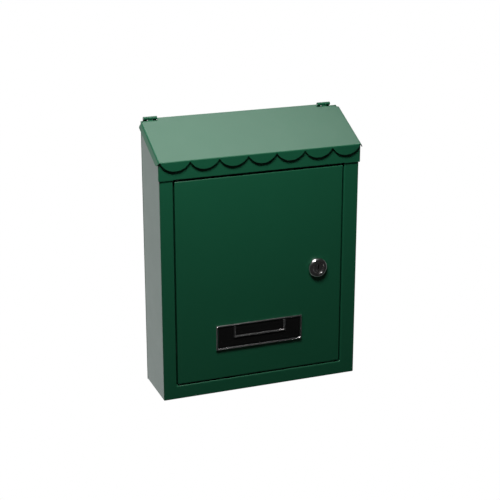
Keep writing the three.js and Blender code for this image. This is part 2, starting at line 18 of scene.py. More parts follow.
import bpy
import numpy as np
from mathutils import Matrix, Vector

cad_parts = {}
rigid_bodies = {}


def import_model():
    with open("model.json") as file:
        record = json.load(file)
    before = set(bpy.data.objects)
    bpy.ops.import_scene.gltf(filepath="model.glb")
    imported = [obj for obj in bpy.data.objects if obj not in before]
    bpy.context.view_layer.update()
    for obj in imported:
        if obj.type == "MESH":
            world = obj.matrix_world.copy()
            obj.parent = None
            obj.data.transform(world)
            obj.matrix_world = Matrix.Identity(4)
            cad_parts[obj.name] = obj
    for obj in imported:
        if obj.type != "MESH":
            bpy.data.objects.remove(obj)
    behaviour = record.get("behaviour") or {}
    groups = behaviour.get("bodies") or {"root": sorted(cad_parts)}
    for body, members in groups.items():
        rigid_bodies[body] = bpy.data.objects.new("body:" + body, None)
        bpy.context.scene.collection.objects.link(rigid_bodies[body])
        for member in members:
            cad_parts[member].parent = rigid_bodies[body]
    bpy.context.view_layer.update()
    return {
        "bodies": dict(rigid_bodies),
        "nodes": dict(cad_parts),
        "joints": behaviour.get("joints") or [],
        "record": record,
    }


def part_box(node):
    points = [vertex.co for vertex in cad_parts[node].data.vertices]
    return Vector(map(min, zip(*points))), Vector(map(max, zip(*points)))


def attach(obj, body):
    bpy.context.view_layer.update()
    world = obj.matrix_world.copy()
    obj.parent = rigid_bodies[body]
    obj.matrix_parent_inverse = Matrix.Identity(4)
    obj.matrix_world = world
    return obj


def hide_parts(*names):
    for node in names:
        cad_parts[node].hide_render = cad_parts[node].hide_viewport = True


LOG = logging.getLogger("letter_box")

Array = np.ndarray
MM = 0.001
WELD = 1e-7
RAW_EDGE = 0.13 * MM
X, Y, Z = np.eye(3)
TURN = 2.0 * math.pi


class Body(Enum):
    """The frame's bodies."""

    BOX = "box"
    LID = "lid"
    DOOR = "door"
    LOCK = "lock"


class Slot(Enum):
    """The record's material slots."""

    PAINT = "green_paint"
    CHROME = "chrome"
    ZINC = "zinc_steel"
    PLASTIC = "black_plastic"


# ---------------------------------------------------------------- surfaces


@dataclass(frozen=True)
class Plane:
    """A flat place for a plate: two directions along it, the way its face looks, and its origin."""

    across: Array
    up: Array
    out: Array
    origin: Array

    def at(self, u: Array, v: Array, sunk: Array | float = 0.0) -> Array:
        """The points origin + u across + v up - sunk out."""
        u, v, sunk = np.broadcast_arrays(u, v, sunk)
        return self.origin + u[..., None] * self.across + v[..., None] * self.up - sunk[..., None] * self.out

    @property
    def turned_over(self) -> bool:
        """Whether across x up points against the way the face looks."""
        return float(np.cross(self.across, self.up) @ self.out) < 0


@dataclass(frozen=True)
class Spot:
    """A round place in a plate: a hole, or a shallow dimple where it has a depth."""

    u: float
    v: float
    radius: float
    depth: float = 0.0


def cuts(*values: float) -> Array:
    """Cut lines in rising order, each once."""
    return np.unique(np.round(np.array(values, float), 7))


def beside(places: Array | float, reach: float) -> Array:
    """Cut lines on both sides of each place, this far from it."""
    places = np.atleast_1d(places)
    return np.concatenate([places - reach, places + reach])


class Skin:
    """A surface gathered from grids and fans of points, and welded where they meet."""

    CIRCLE = 32

    def __init__(self) -> None:
        """Starts with no points."""
        self.points: list[Array] = []
        self.faces: list[Array] = []
        self.count = 0

    def add(self, points: Array, faces: Array, flip: bool = False) -> None:
        """Adds points and the faces between them.

        Args:
            points: any array of points, last axis x, y, z.
            faces: four indices into the points for each face; a triangle repeats its last one.
            flip: turns the faces over.
        """
        points = np.asarray(points, float).reshape(-1, 3)
        self.points.append(points)
        self.faces.append((faces[:, ::-1] if flip else faces) + self.count)
        self.count += len(points)

    @staticmethod
    def corners(values: Array) -> Array:
        """The four corner values of each cell of a grid, in turn round the cell."""
        return np.stack([values[:-1, :-1], values[:-1, 1:], values[1:, 1:], values[1:, :-1]], axis=-1)

    def grid(self, points: Array, wrap: tuple[bool, bool] = (False, False), flip: bool = False) -> None:
        """Adds the quads of a grid of points.

        Args:
            points: [row, column, 3]; faces look along column direction x row direction.
            wrap: whether the last row joins the first, and the last column the first.
            flip: turns the faces over.
        """
        rows, columns = points.shape[:2]
        index = np.arange(rows * columns).reshape(rows, columns)
        index = np.pad(index, ((0, int(wrap[0])), (0, int(wrap[1]))), mode="wrap")
        self.add(points, self.corners(index).reshape(-1, 4), flip)

    def tile(
        self,
        plane: Plane,
        us: Array,
        vs: Array,
        spots: Sequence[Spot] = (),
        open_areas: Sequence[tuple[float, float, float, float]] = (),
    ) -> None:
        """Adds a flat plate, cut into cells by lines, each with at most one spot in it.

        Args:
            plane: where the plate lies.
            us: cut lines across, or their places [row, column] where they don't run straight.
            vs: cut lines up, or their heights [row, column].
            spots: holes and dimples.
            open_areas: u from, u to, v from, v to; cells whose middle is inside are left out.
        """
        u, v = np.broadcast_arrays(us, vs if vs.ndim == 2 else vs[:, None])
        middle = [self.corners(a).sum(axis=-1) / 4 for a in (u, v)]
        keep = np.ones(middle[0].shape, bool)
        for u0, u1, v0, v1 in open_areas:
            keep &= ~((middle[0] > u0) & (middle[0] < u1) & (middle[1] > v0) & (middle[1] < v1))
        for spot in spots:
            column = int(np.searchsorted(u[0], spot.u)) - 1
            row = int(np.searchsorted(v[:, column], spot.v)) - 1
            keep[row, column] = False
            corners = [(row + 1, column + 1), (row + 1, column), (row, column), (row, column + 1)]
            self._spot(plane, spot, np.array([[u[c], v[c]] for c in corners]))
        cells = self.corners(np.arange(u.size).reshape(u.shape))
        self.add(plane.at(u, v), cells[keep], plane.turned_over)

    def _spot(self, plane: Plane, spot: Spot, corners: Array) -> None:
        """Fills a cell round a circle, and the circle too if the spot is a dimple.

        Each step of the circle makes a triangle with the corner of its quarter, and each side of the cell
        one with the circle's nearest point.  A dimple's depth is half a cosine wave of the radius.

        Args:
            plane: where the plate lies.
            spot: the circle.
            corners: u, v of the cell's four corners, counter-clockwise from the upper right.
        """
        n = self.CIRCLE
        turn = TURN * np.arange(n) / n
        ring = np.stack([spot.u + spot.radius * np.cos(turn), spot.v + spot.radius * np.sin(turn)], axis=-1)
        step = np.arange(n)
        quarter = n + step * 4 // n
        beside = (step + 1) % n
        fan = np.stack([step, quarter, beside, beside], axis=-1)
        side = np.arange(4)
        nearest = (side + 1) * n // 4 % n
        bridge = np.stack([n + side, n + (side + 1) % 4, nearest, nearest], axis=-1)
        flat = np.concatenate([ring, corners])
        self.add(plane.at(flat[:, 0], flat[:, 1]), np.concatenate([fan, bridge]), plane.turned_over)
        if spot.depth:
            share = np.linspace(1.0, 0.0, 6)[:, None]
            u = spot.u + share * spot.radius * np.cos(turn)
            v = spot.v + share * spot.radius * np.sin(turn)
            sunk = spot.depth * (0.5 + 0.5 * np.cos(math.pi * share)) + 0 * u
            self.grid(plane.at(u, v, sunk), wrap=(False, True), flip=plane.turned_over)

    def build(self, name: str, closed: bool = False) -> bpy.types.Object:
        """Welds the points, drops what has no area, and makes the object.

        Args:
            name: the object's name.
            closed: for a closed surface, whose faces are turned over if its volume comes out negative.

        Returns:
            The object, smooth shaded, at the origin.
        """
        points = np.concatenate(self.points)
        faces = np.concatenate(self.faces)
        _, first, inverse = np.unique(
            np.round(points / WELD).astype(np.int64), axis=0, return_index=True, return_inverse=True
        )
        points, faces = points[first], inverse.reshape(-1)[faces]
        repeats = faces == np.roll(faces, -1, axis=1)
        quads = faces[repeats.sum(axis=1) == 0]
        thin = repeats.sum(axis=1) == 1
        triangles = faces[thin][~repeats[thin]].reshape(-1, 3)
        if closed:
            split = np.concatenate([quads[:, [0, 1, 2]], quads[:, [0, 2, 3]], triangles])
            a, b, c = (points[split[:, k]] for k in range(3))
            if np.einsum("ij,ij->", a, np.cross(b, c)) < 0:
                quads, triangles = quads[:, ::-1], triangles[:, ::-1]
        mesh = bpy.data.meshes.new(name)
        mesh.from_pydata(points.tolist(), [], quads.tolist() + triangles.tolist())
        mesh.update()
        mesh.shade_smooth()
        obj = bpy.data.objects.new(name, mesh)
        bpy.context.scene.collection.objects.link(obj)
        return obj


def rounded(corners: Array, radius: float, steps: int = 4, loop: bool = False) -> Array:
    """A polyline with its corners rounded.

    Each corner P becomes the quadratic curve (1-t)^2 A + 2t(1-t) P + t^2 B, where A and B lie on the two
    sides, the radius away from P or at most 0.45 of the side.

    Args:
        corners: [corner, 2].
        radius: how far from the corner the curve starts.
        steps: pieces in each curve.
        loop: whether the last corner joins the first.

    Returns:
        The points of the rounded polyline.
    """
    t = np.linspace(0, 1, steps + 1)[None, :, None]
    before, after = np.roll(corners, 1, axis=0) - corners, np.roll(corners, -1, axis=0) - corners
    reach = [
        side * np.minimum(0.45, radius / np.maximum(np.linalg.norm(side, axis=1, keepdims=True), WELD))
        for side in (before, after)
    ]
    start, end, middle = ((corners + shift)[:, None] for shift in (reach[0], reach[1], 0 * corners))
    curves = (1 - t) ** 2 * start + 2 * t * (1 - t) * middle + t**2 * end
    if loop:
        return curves.reshape(-1, 2)
    return np.concatenate([corners[:1], curves[1:-1].reshape(-1, 2), corners[-1:]])


# ---------------------------------------------------------------- turned and polar pieces


@dataclass(frozen=True)
class Spindle:
    """An axis that pieces are turned about: a point on it, its direction, and two directions round it."""

    centre: Array
    along: Array
    side: Array

    def surface(self, radius: Array, height: Array, turn: Array) -> Array:
        """Points centre + height along + radius (cos turn side + sin turn third direction)."""
        radius, height, turn = np.broadcast_arrays(radius, height, turn)
        third = np.cross(self.along, self.side)
        return (
            self.centre
            + height[..., None] * self.along
            + (radius * np.cos(turn))[..., None] * self.side
            + (radius * np.sin(turn))[..., None] * third
        )

    def turned(
        self, name: str, radius: Array, height: Array, turn: Array, ring: bool = False
    ) -> bpy.types.Object:
        """A closed piece whose rows run round the axis.

        Args:
            name: the object's name.
            radius: [row, turn], or [row, 1] where it is the same all round.
            height: along the axis, shaped as the radius.
            turn: angles round the axis.
            ring: whether the last row joins the first; otherwise the ends close on the axis.

        Returns:
            The object.
        """
        skin = Skin()
        skin.grid(self.surface(radius, height, turn[None, :]), wrap=(ring, True))
        return skin.build(name, closed=True)

    def lathe(self, name: str, profile: Array, sides: int = 64, ring: bool = False) -> bpy.types.Object:
        """A profile of radius and height turned about the axis."""
        return self.turned(name, profile[:, :1], profile[:, 1:], around(sides), ring)


def around(sides: int, *extra: float) -> Array:
    """Equal steps round a circle, with the angles of an outline's corners among them."""
    return np.unique(np.round(np.concatenate([TURN * np.arange(sides) / sides, np.array(extra) % TURN]), 9))


def box_outline(turn: Array, half_width: float, half_height: float) -> Array:
    """Radius of a rectangle's outline: the nearer of its upright and level sides along each ray."""
    tiny = 1e-9
    upright = half_width / np.maximum(np.abs(np.cos(turn)), tiny)
    level = half_height / np.maximum(np.abs(np.sin(turn)), tiny)
    return np.minimum(upright, level)


def hexagon_outline(turn: Array, flat: float) -> Array:
    """Radius of a hexagon's outline: the flat's distance over the cosine of the angle from its middle."""
    return flat / np.cos((turn % (math.pi / 3)) - math.pi / 6)


# ---------------------------------------------------------------- modifiers


def bevel(obj: bpy.types.Object, width: float, segments: int, angle: float) -> None:
    """Rounds the edges whose faces turn by more than the angle."""
    modifier = obj.modifiers.new("round_edges", "BEVEL")
    modifier.limit_method = "ANGLE"
    modifier.angle_limit = math.radians(angle)
    modifier.width = width
    modifier.segments = segments
    modifier.use_clamp_overlap = False
    modifier.miter_outer = "MITER_ARC"


def even_shading(obj: bpy.types.Object) -> None:
    """Weights the normals by face area, so that flat faces stay flat beside rounded edges."""
    modifier = obj.modifiers.new("even_shading", "WEIGHTED_NORMAL")
    modifier.weight = 90
    modifier.keep_sharp = False


def eased(obj: bpy.types.Object, width: float, segments: int, angle: float) -> bpy.types.Object:
    """Rounds edges, evens the shading and gives the object back."""
    bevel(obj, width, segments, angle)
    even_shading(obj)
    return obj


def folded(obj: bpy.types.Object, sheet: float, radius: float) -> bpy.types.Object:
    """Turns the outer side of a folded sheet into metal: rounded folds, thickness and eased raw edges.

    Args:
        obj: the surface, with its normals outwards.
        sheet: thickness.
        radius: size of the folds' rounding on the outer side.

    Returns:
        The same object.
    """
    bevel(obj, radius, 5, 30)
    wall = obj.modifiers.new("sheet", "SOLIDIFY")
    wall.thickness = sheet
    wall.offset = -1
    wall.use_even_offset = True
    wall.use_rim = True
    return eased(obj, RAW_EDGE, 2, 62)


# ---------------------------------------------------------------- shader graphs


class Graph:
    """Adds and links nodes in one node tree."""

    def __init__(self, tree: bpy.types.NodeTree) -> None:
        """Works on a tree whose nodes are cleared first."""
        self.tree = tree
        tree.nodes.clear()

    def add(self, kind: str, inputs: dict | None = None, **settings: object) -> bpy.types.Node:
        """Adds a node.

        Args:
            kind: the node's type, without its ShaderNode prefix.
            inputs: values or sockets for its inputs, by name or number.
            settings: its own properties.

        Returns:
            The node.
        """
        prefix = "" if kind.startswith("Node") else "ShaderNode"
        node = self.tree.nodes.new(prefix + kind)
        for key, value in settings.items():
            setattr(node, key, value)
        for key, value in (inputs or {}).items():
            if isinstance(value, bpy.types.NodeSocket):
                self.tree.links.new(value, node.inputs[key])
            else:
                node.inputs[key].default_value = value
        return node

    def group(self, tree: bpy.types.NodeTree, inputs: dict) -> bpy.types.bpy_prop_collection:
        """Adds a node group and gives its outputs."""
        return self.add("Group", inputs, node_tree=tree).outputs

    def noise(self, vector: bpy.types.NodeSocket, scale: object, detail: float) -> bpy.types.NodeSocket:
        """A noise texture's value, from 0 to 1."""
        inputs = {"Vector": vector, "Scale": scale, "Detail": detail, "Roughness": 0.55}
        return self.add("TexNoise", inputs).outputs["Fac"]

    def math(self, operation: str, first: object, second: object) -> bpy.types.NodeSocket:
        """The result of a Math node."""
        return self.add("Math", {0: first, 1: second}, operation=operation).outputs[0]

    def ramp(
        self, value: bpy.types.NodeSocket, start: tuple[float, float], end: tuple[float, float]
    ) -> bpy.types.NodeSocket:
        """A value carried smoothly from one range to another, and held at its ends."""
        inputs = {"Value": value, "From Min": start[0], "From Max": start[1],
                  "To Min": end[0], "To Max": end[1]}
        return self.add("MapRange", inputs, interpolation_type="SMOOTHSTEP").outputs["Result"]

    def seen_white(self, kind: str, other: bpy.types.NodeSocket) -> bpy.types.NodeSocket:
        """Plain white to the camera, from a shader of this kind, and another shader to all other rays."""
        white = self.add(kind, {"Color": (1, 1, 1, 1), "Strength": 1.0}).outputs[0]
        seen = self.add("LightPath").outputs["Is Camera Ray"]
        return self.add("MixShader", {0: seen, 1: other, 2: white}).outputs[0]

    def spread(self, value: bpy.types.NodeSocket, low: object, high: object) -> bpy.types.NodeSocket:
        """A 0 to 1 value carried to a range."""
        return self.add("MapRange", {"Value": value, "To Min": low, "To Max": high}).outputs["Result"]


GREY = (0.5, 0.5, 0.5, 1)


def effect(name: str, inputs: dict[str, tuple[str, object]], outputs: dict[str, str]) -> tuple[Graph, dict]:
    """Starts a shader node group.

    Args:
        name: the group's name.
        inputs: socket type and default of each input.
        outputs: socket type of each output.

    Returns:
        The group's graph, and its input sockets by name.
    """
    tree = bpy.data.node_groups.new(name, "ShaderNodeTree")
    for label, (kind, default) in inputs.items():
        socket = tree.interface.new_socket(label, in_out="INPUT", socket_type="NodeSocket" + kind)
        if default is not None:
            socket.default_value = default
    for label, kind in outputs.items():
        tree.interface.new_socket(label, in_out="OUTPUT", socket_type="NodeSocket" + kind)
    graph = Graph(tree)
    entry = graph.add("NodeGroupInput")
    return graph, {label: entry.outputs[label] for label in inputs}


class Effects:
    """Shader node groups that several finishes share."""

    def __init__(self) -> None:
        """Builds each group once."""
        self.tone = self._tone()
        self.skin = self._skin()
        self.film = self._film()

    @staticmethod
    def _tone() -> bpy.types.NodeTree:
        """Slow drift of colour and roughness over a coating: two sizes of noise, added and re-centred."""
        graph, entry = effect(
            "tone_drift",
            {"Vector": ("Vector", None), "Colour": ("Color", GREY), "Darkest": ("Float", 0.9),
             "Roughness": ("Float", 0.3), "Swing": ("Float", 0.05), "Scale": ("Float", 12.0)},
            {"Colour": "Color", "Roughness": "Float"},
        )
        broad = graph.noise(entry["Vector"], entry["Scale"], 3.0)
        fine = graph.noise(entry["Vector"], graph.math("MULTIPLY", entry["Scale"], 23.0), 4.0)
        both = graph.math("ADD", graph.math("MULTIPLY", broad, 0.7), graph.math("MULTIPLY", fine, 0.3))
        shade = graph.spread(both, entry["Darkest"], graph.math("SUBTRACT", 2.0, entry["Darkest"]))
        colour = graph.add("VectorMath", {0: entry["Colour"], "Scale": shade}, operation="SCALE").outputs[0]
        low = graph.math("SUBTRACT", entry["Roughness"], entry["Swing"])
        high = graph.math("ADD", entry["Roughness"], entry["Swing"])
        rough = graph.spread(graph.noise(entry["Vector"], 61.0, 5.0), low, high)
        graph.add("NodeGroupOutput", {"Colour": colour, "Roughness": rough})
        return graph.tree

    @staticmethod
    def _skin() -> bpy.types.NodeTree:
        """Height of a coated sheet: long low waves of the metal under the fine orange peel of the coat."""
        graph, entry = effect(
            "coated_sheet",
            {"Vector": ("Vector", None), "Wave": ("Float", 0.02), "Peel": ("Float", 0.01),
             "Peel scale": ("Float", 700.0)},
            {"Height": "Float"},
        )
        wave = graph.math("MULTIPLY", graph.noise(entry["Vector"], 9.0, 1.0), entry["Wave"])
        peel = graph.math("MULTIPLY", graph.noise(entry["Vector"], entry["Peel scale"], 2.0), entry["Peel"])
        graph.add("NodeGroupOutput", {"Height": graph.math("ADD", wave, peel)})
        return graph.tree

    @staticmethod
    def _film() -> bpy.types.NodeTree:
        """A thin uneven film, of dust or of handling, that is stronger where a mask says."""
        graph, entry = effect(
            "thin_film",
            {"Vector": ("Vector", None), "Mask": ("Float", 1.0), "Amount": ("Float", 0.05),
             "Under": ("Color", GREY), "Film": ("Color", (0.5, 0.48, 0.44, 1)),
             "Roughness": ("Float", 0.3), "Dulling": ("Float", 0.15)},
            {"Colour": "Color", "Roughness": "Float"},
        )
        cloud = graph.spread(graph.noise(entry["Vector"], 38.0, 6.0), 0.3, 1.4)
        share = graph.math("MULTIPLY", graph.math("MULTIPLY", cloud, entry["Mask"]), entry["Amount"])
        blend = graph.add(
            "Mix", {"Factor": share, "A": entry["Under"], "B": entry["Film"]}, data_type="RGBA"
        )
        colour = next(socket for socket in blend.outputs if socket.type == "RGBA")
        dull = graph.math("ADD", entry["Roughness"], graph.math("MULTIPLY", cloud, entry["Dulling"]))
        graph.add("NodeGroupOutput", {"Colour": colour, "Roughness": dull})
        return graph.tree


# ---------------------------------------------------------------- finishes


@dataclass(frozen=True)
class Finish:
    """What every finish has: its slot, colour, roughness and the depth of its relief."""

    slot: Slot
    colour: tuple[float, float, float]
    roughness: float
    metallic: float = 0.0
    drift: float = 0.94
    swing: float = 0.03
    wave: float = 0.0
    peel: float = 0.0
    peel_scale: float = 700.0
    film: float = 0.0
    dulling: float = 0.0

    def material(self, effects: Effects) -> bpy.types.Material:
        """Builds the finish's material.

        Args:
            effects: the shared node groups.

        Returns:
            The material, with its Principled shader fed by the groups.
        """
        material = bpy.data.materials.new(self.slot.value)
        material.use_nodes = True
        graph = Graph(material.node_tree)
        vector = graph.add("TexCoord").outputs["Object"]
        tone = graph.group(effects.tone, {
            "Vector": vector, "Colour": (*self.colour, 1.0), "Darkest": self.drift,
            "Roughness": self.roughness, "Swing": self.swing,
        })
        normal = graph.add("NewGeometry").outputs["Normal"]
        upward = graph.add("SeparateXYZ", {0: normal}).outputs["Z"]
        mask = graph.add("MapRange", {"Value": upward, "From Min": 0.2, "From Max": 1.0}).outputs["Result"]
        film = graph.group(effects.film, {
            "Vector": vector, "Mask": mask, "Amount": self.film, "Dulling": self.dulling,
            "Under": tone["Colour"], "Roughness": tone["Roughness"],
        })
        relief = graph.group(effects.skin, {
            "Vector": vector, "Wave": self.wave, "Peel": self.peel, "Peel scale": self.peel_scale,
        })
        bump = graph.add("Bump", {"Height": relief["Height"], "Distance": MM, "Strength": 1.0})
        shader = graph.add("BsdfPrincipled", {
            "Base Color": film["Colour"], "Roughness": film["Roughness"], "Metallic": self.metallic,
            "Normal": bump.outputs["Normal"],
        })
        graph.add("OutputMaterial", {"Surface": shader.outputs["BSDF"]})
        return material


FINISHES = (
    Finish(
        Slot.PAINT, (0.0072, 0.079, 0.0375), 0.3, drift=0.92, swing=0.03,
        wave=0.35, peel=0.006, film=0.02, dulling=0.02,
    ),
    Finish(
        Slot.CHROME, (0.78, 0.76, 0.76), 0.19, metallic=1.0, drift=0.95, swing=0.03,
        wave=0.0, peel=0.002, peel_scale=1500.0, dulling=0.03,
    ),
    Finish(
        Slot.ZINC, (0.56, 0.57, 0.58), 0.34, metallic=1.0, drift=0.85, swing=0.08,
        wave=0.0, peel=0.01, peel_scale=1800.0, dulling=0.05,
    ),
    Finish(
        Slot.PLASTIC, (0.006, 0.006, 0.006), 0.12, drift=0.9, swing=0.03,
        wave=0.1, peel=0.002, peel_scale=900.0, dulling=0.02,
    ),
)


@dataclass(frozen=True)
class Palette:
    """The built materials, by slot."""

    materials: dict[Slot, bpy.types.Material]

    @classmethod
    def mixed(cls) -> Palette:
        """Builds every finish."""
        effects = Effects()
        return cls({finish.slot: finish.material(effects) for finish in FINISHES})

    def dress(self, obj: bpy.types.Object, slot: Slot, body: Body, node: str) -> None:
        """Gives a piece its finish and its body, and hides the frame node that it stands for.

        Args:
            obj: the finished piece.
            slot: its finish.
            body: the body that it moves with.
            node: the frame node that it replaces.
        """
        obj.data.materials.append(self.materials[slot])
        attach(obj, body.value)
        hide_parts(node)
        LOG.info("%s: %d faces for %s", obj.name, len(obj.data.polygons), node)


# ---------------------------------------------------------------- places taken from the frame


def extent(node: str) -> tuple[Array, Array]:
    """Lowest and highest corner of a frame node."""
    low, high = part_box(node)
    return np.array(low), np.array(high)


def ends(low: Array, high: Array, axis: int) -> tuple[tuple[float, Array], tuple[float, Array]]:
    """A box's two ends along an axis: where each one is, and the way that it looks."""
    out = np.eye(3)[axis]
    return (low[axis], -out), (high[axis], out)


@dataclass(frozen=True)
class Slope:
    """The lid's sloping top, seen from the side."""

    fold_y: float
    fold_z: float
    rise: float = 29.5 * MM
    sheet: float = 0.8 * MM

    @property
    def angle(self) -> float:
        """Slope of the top, which meets the wall plane after the rise."""
        return math.atan2(self.rise, -self.fold_y)

    @property
    def length(self) -> float:
        """From the fold to the rear edge, along the slope."""
        return math.hypot(self.rise, self.fold_y)

    @property
    def along(self) -> Array:
        """Direction up the slope."""
        return math.cos(self.angle) * Y + math.sin(self.angle) * Z

    @property
    def down(self) -> Array:
        """Direction square to the slope and downwards."""
        return math.sin(self.angle) * Y - math.cos(self.angle) * Z

    @property
    def origin(self) -> Array:
        """The fold, midway across."""
        return self.fold_y * Y + self.fold_z * Z

    def under(self, y: Array | float, clearance: float) -> Array | float:
        """Height of an edge below the lid at a depth: the lid's underside less the clearance."""
        drop = self.sheet / math.cos(self.angle) + clearance
        return self.fold_z + (y - self.fold_y) * math.tan(self.angle) - drop


@dataclass(frozen=True)
class Layout:
    """Places that several sub-assemblies share, read from the frame."""

    slope: Slope
    lid_axis: Array
    door_axis: Array
    lock_axis: Array
    sheet: float = 0.8 * MM
    pivot_hole: float = 1.8 * MM
    pivot_cell: float = 3.6 * MM

    @classmethod
    def measured(cls, frame: dict, scallop: float) -> Layout:
        """Reads the joints' axes and the lid's fold.

        Args:
            scallop: the scallops' depth below the fold.

        Returns:
            The layout.
        """
        axis = {joint["child"]: np.array(joint["pos_m"]) for joint in frame["joints"]}
        low, _ = extent("lid_panel")
        return cls(Slope(float(low[1]), float(low[2]) + scallop), axis["lid"], axis["door"], axis["lock"])

    @property
    def roll(self) -> Array:
        """Steps round a rolled knuckle, which stays open for the rest of the circle."""
        return np.linspace(0, math.radians(290), 30)

    @staticmethod
    def knuckles(side: str) -> list[tuple[float, float]]:
        """Ends of the three knuckles of the left or the right hinge, from left to right."""
        low, _ = extent(f"lid_hinge_pin_{side}")
        length, gap = 4.4 * MM, 0.4 * MM
        return [(low[0] + n * (length + gap), low[0] + n * (length + gap) + length) for n in range(3)]


# ---------------------------------------------------------------- the box


@dataclass
class Housing:
    """Folded shell with its front frame, back panel and fascia band."""

    layout: Layout
    door_gap: float = 1.5 * MM
    stop_gap: float = 0.4 * MM
    stop_width: float = 6 * MM
    stop_start: float = 1.2 * MM
    rear_flange: float = 10 * MM
    fold: float = 1.1 * MM
    band_fold: float = 0.9 * MM
    fascia_inset: float = 0.3 * MM
    screw_hole: float = 3.3 * MM
    screw_room: float = 4.4 * MM
    screw_cell: float = 6 * MM
    screw_x: float = 80 * MM
    screw_low: float = 30 * MM
    screw_below_top: float = 26 * MM
    lid_clearance: float = 0.5 * MM
    band_clearance: float = 1.7 * MM
    band_wing: float = 9.5 * MM
    weld_inset: float = 4.2 * MM
    weld_radius: float = 1.9 * MM
    weld_depth: float = 0.16 * MM
    welds_across: int = 3
    welds_up: int = 4

    def __post_init__(self) -> None:
        """Reads the shell and the door from the frame."""
        self.low, self.high = extent("body_shell")
        self.door_low, self.door_high = extent("door_panel")
        self.open_left = self.door_low[0] - self.door_gap
        self.open_right = self.door_high[0] + self.door_gap
        self.rail = self.door_low[2] - self.door_gap
        self.cell_x = self.layout.door_axis[0] + self.layout.pivot_cell
        self.cell_y = self.layout.door_axis[1] + self.layout.pivot_cell

    @property
    def pivot_spot(self) -> tuple[float, float]:
        """The pivots' axis, across and in depth."""
        return float(self.layout.door_axis[0]), float(self.layout.door_axis[1])

    def shell(self) -> bpy.types.Object:
        """Walls, bottom, front frame with its lips, and rear flanges, as the outer side of the sheet.

        All plates share their cut lines, so that they weld.  The walls' top runs straight from under the
        lid's fold to the rear height.
        """
        low, high, slope = self.low, self.high, self.layout.slope
        front, back, top = low[1], high[1], high[2]
        stop_face = self.door_high[1] + self.stop_gap
        lip_end = stop_face + self.layout.sheet
        flange = self.rear_flange
        xs = cuts(low[0], low[0] + flange, self.open_left, self.cell_x, self.open_right,
                  high[0] - flange, high[0])
        ys = cuts(front, back)
        heights = cuts(low[2], low[2] + flange, self.rail, self.rail + self.stop_start, self.door_high[2])
        skin = Skin()

        def rows(at: Array) -> Array:
            """Cut heights over some depths, with the top line last."""
            tops = np.minimum(top, slope.under(at, self.lid_clearance))
            return np.vstack([np.repeat(heights[:, None], len(at), axis=1), tops[None, :]])

        for x, out in ends(low, high, 0):
            skin.tile(Plane(Y, Z, out, x * X), ys, rows(ys))
        skin.tile(Plane(X, Y, -Z, low[2] * Z), xs, ys)
        front_rows = rows(np.full(len(xs), front))
        skin.tile(Plane(X, Z, -Y, front * Y), xs, front_rows,
                  open_areas=[(self.open_left, self.open_right, self.rail, top)])
        rear_rows = rows(np.full(len(xs), back))
        skin.tile(Plane(X, Z, Y, back * Y), xs, rear_rows,
                  open_areas=[(low[0] + flange, high[0] - flange, low[2] + flange, top)])
        lip = cuts(front, self.cell_y, stop_face, lip_end)
        lip_rows = front_rows[2:, :1]
        skin.tile(Plane(Y, Z, X, self.open_left * X), lip, np.repeat(lip_rows, 4, axis=1))
        skin.tile(Plane(Y, Z, -X, self.open_right * X), lip[:3], np.repeat(lip_rows, 3, axis=1))
        inner = xs[(xs >= self.open_left - WELD) & (xs <= self.open_right + WELD)]
        pivot = Spot(*self.pivot_spot, self.layout.pivot_hole)
        skin.tile(Plane(X, Y, Z, self.rail * Z), inner, lip, spots=[pivot])
        skin.tile(Plane(X, Z, -Y, stop_face * Y), cuts(self.open_right - self.stop_width, self.open_right),
                  heights[3:])
        return folded(skin.build("shell_sheet"), self.layout.sheet, self.fold)

    def back(self) -> bpy.types.Object:
        """Flat panel with screw holes and weld dimples, and four tongues rolled round the hinge pins.

        A tongue runs straight up to the pin's height and then round it at the roll's outer radius.  Cut
        lines from a tongue's side lean away from a screw hole below it.
        """
        low, high = extent("back_panel")
        _, rear, axis_z = self.layout.lid_axis
        radius = -rear
        knuckles = [self.layout.knuckles(side)[n] for side in ("left", "right") for n in (0, 2)]
        top = self.high[2]
        cell = self.screw_cell
        screws_x = np.array([-self.screw_x, self.screw_x])
        welds_x = np.linspace(-0.5, 0.5, self.welds_across) * self.screw_x
        xs = cuts(low[0], high[0], *np.ravel(knuckles), *beside(0, self.screw_x - cell),
                  *beside(welds_x, cell / 2))
        screws_z = np.array([low[2] + self.screw_low, top - self.screw_below_top])
        welds_z = np.linspace(*screws_z, self.welds_up + 2)[1:-1]
        weld_low = low[2] + self.rear_flange / 2
        zs = cuts(low[2], top, *beside(weld_low, cell / 2), *beside(screws_z, cell),
                  *beside(welds_z, cell / 2))
        off_screw = np.abs(xs) - self.screw_x
        crowded = (off_screw > 0) & (off_screw < self.screw_room)
        lower = np.where(crowded, np.sign(xs) * (self.screw_x + self.screw_room), xs)
        columns = np.vstack([np.repeat(lower[None, :], len(zs) - 1, axis=0), xs[None, :]])
        weld_x = high[0] - self.weld_inset
        welds = [(x, z) for x in (-weld_x, weld_x) for z in welds_z] + [(x, weld_low) for x in welds_x]
        spots = [Spot(x, z, self.screw_hole) for x in screws_x for z in screws_z]
        spots += [Spot(x, z, self.weld_radius, self.weld_depth) for x, z in welds]
        skin = Skin()
        skin.tile(Plane(X, Z, Y, 0 * Y), columns, zs, spots=spots)
        turn = self.layout.roll
        path = np.stack([rear + radius * np.cos(turn), axis_z + radius * np.sin(turn)], axis=-1)
        path = np.vstack([[0.0, top], path])
        for ends in knuckles:
            skin.grid(carried(path, ends), flip=True)
        return folded(skin.build("back_sheet"), self.layout.sheet, self.fold)

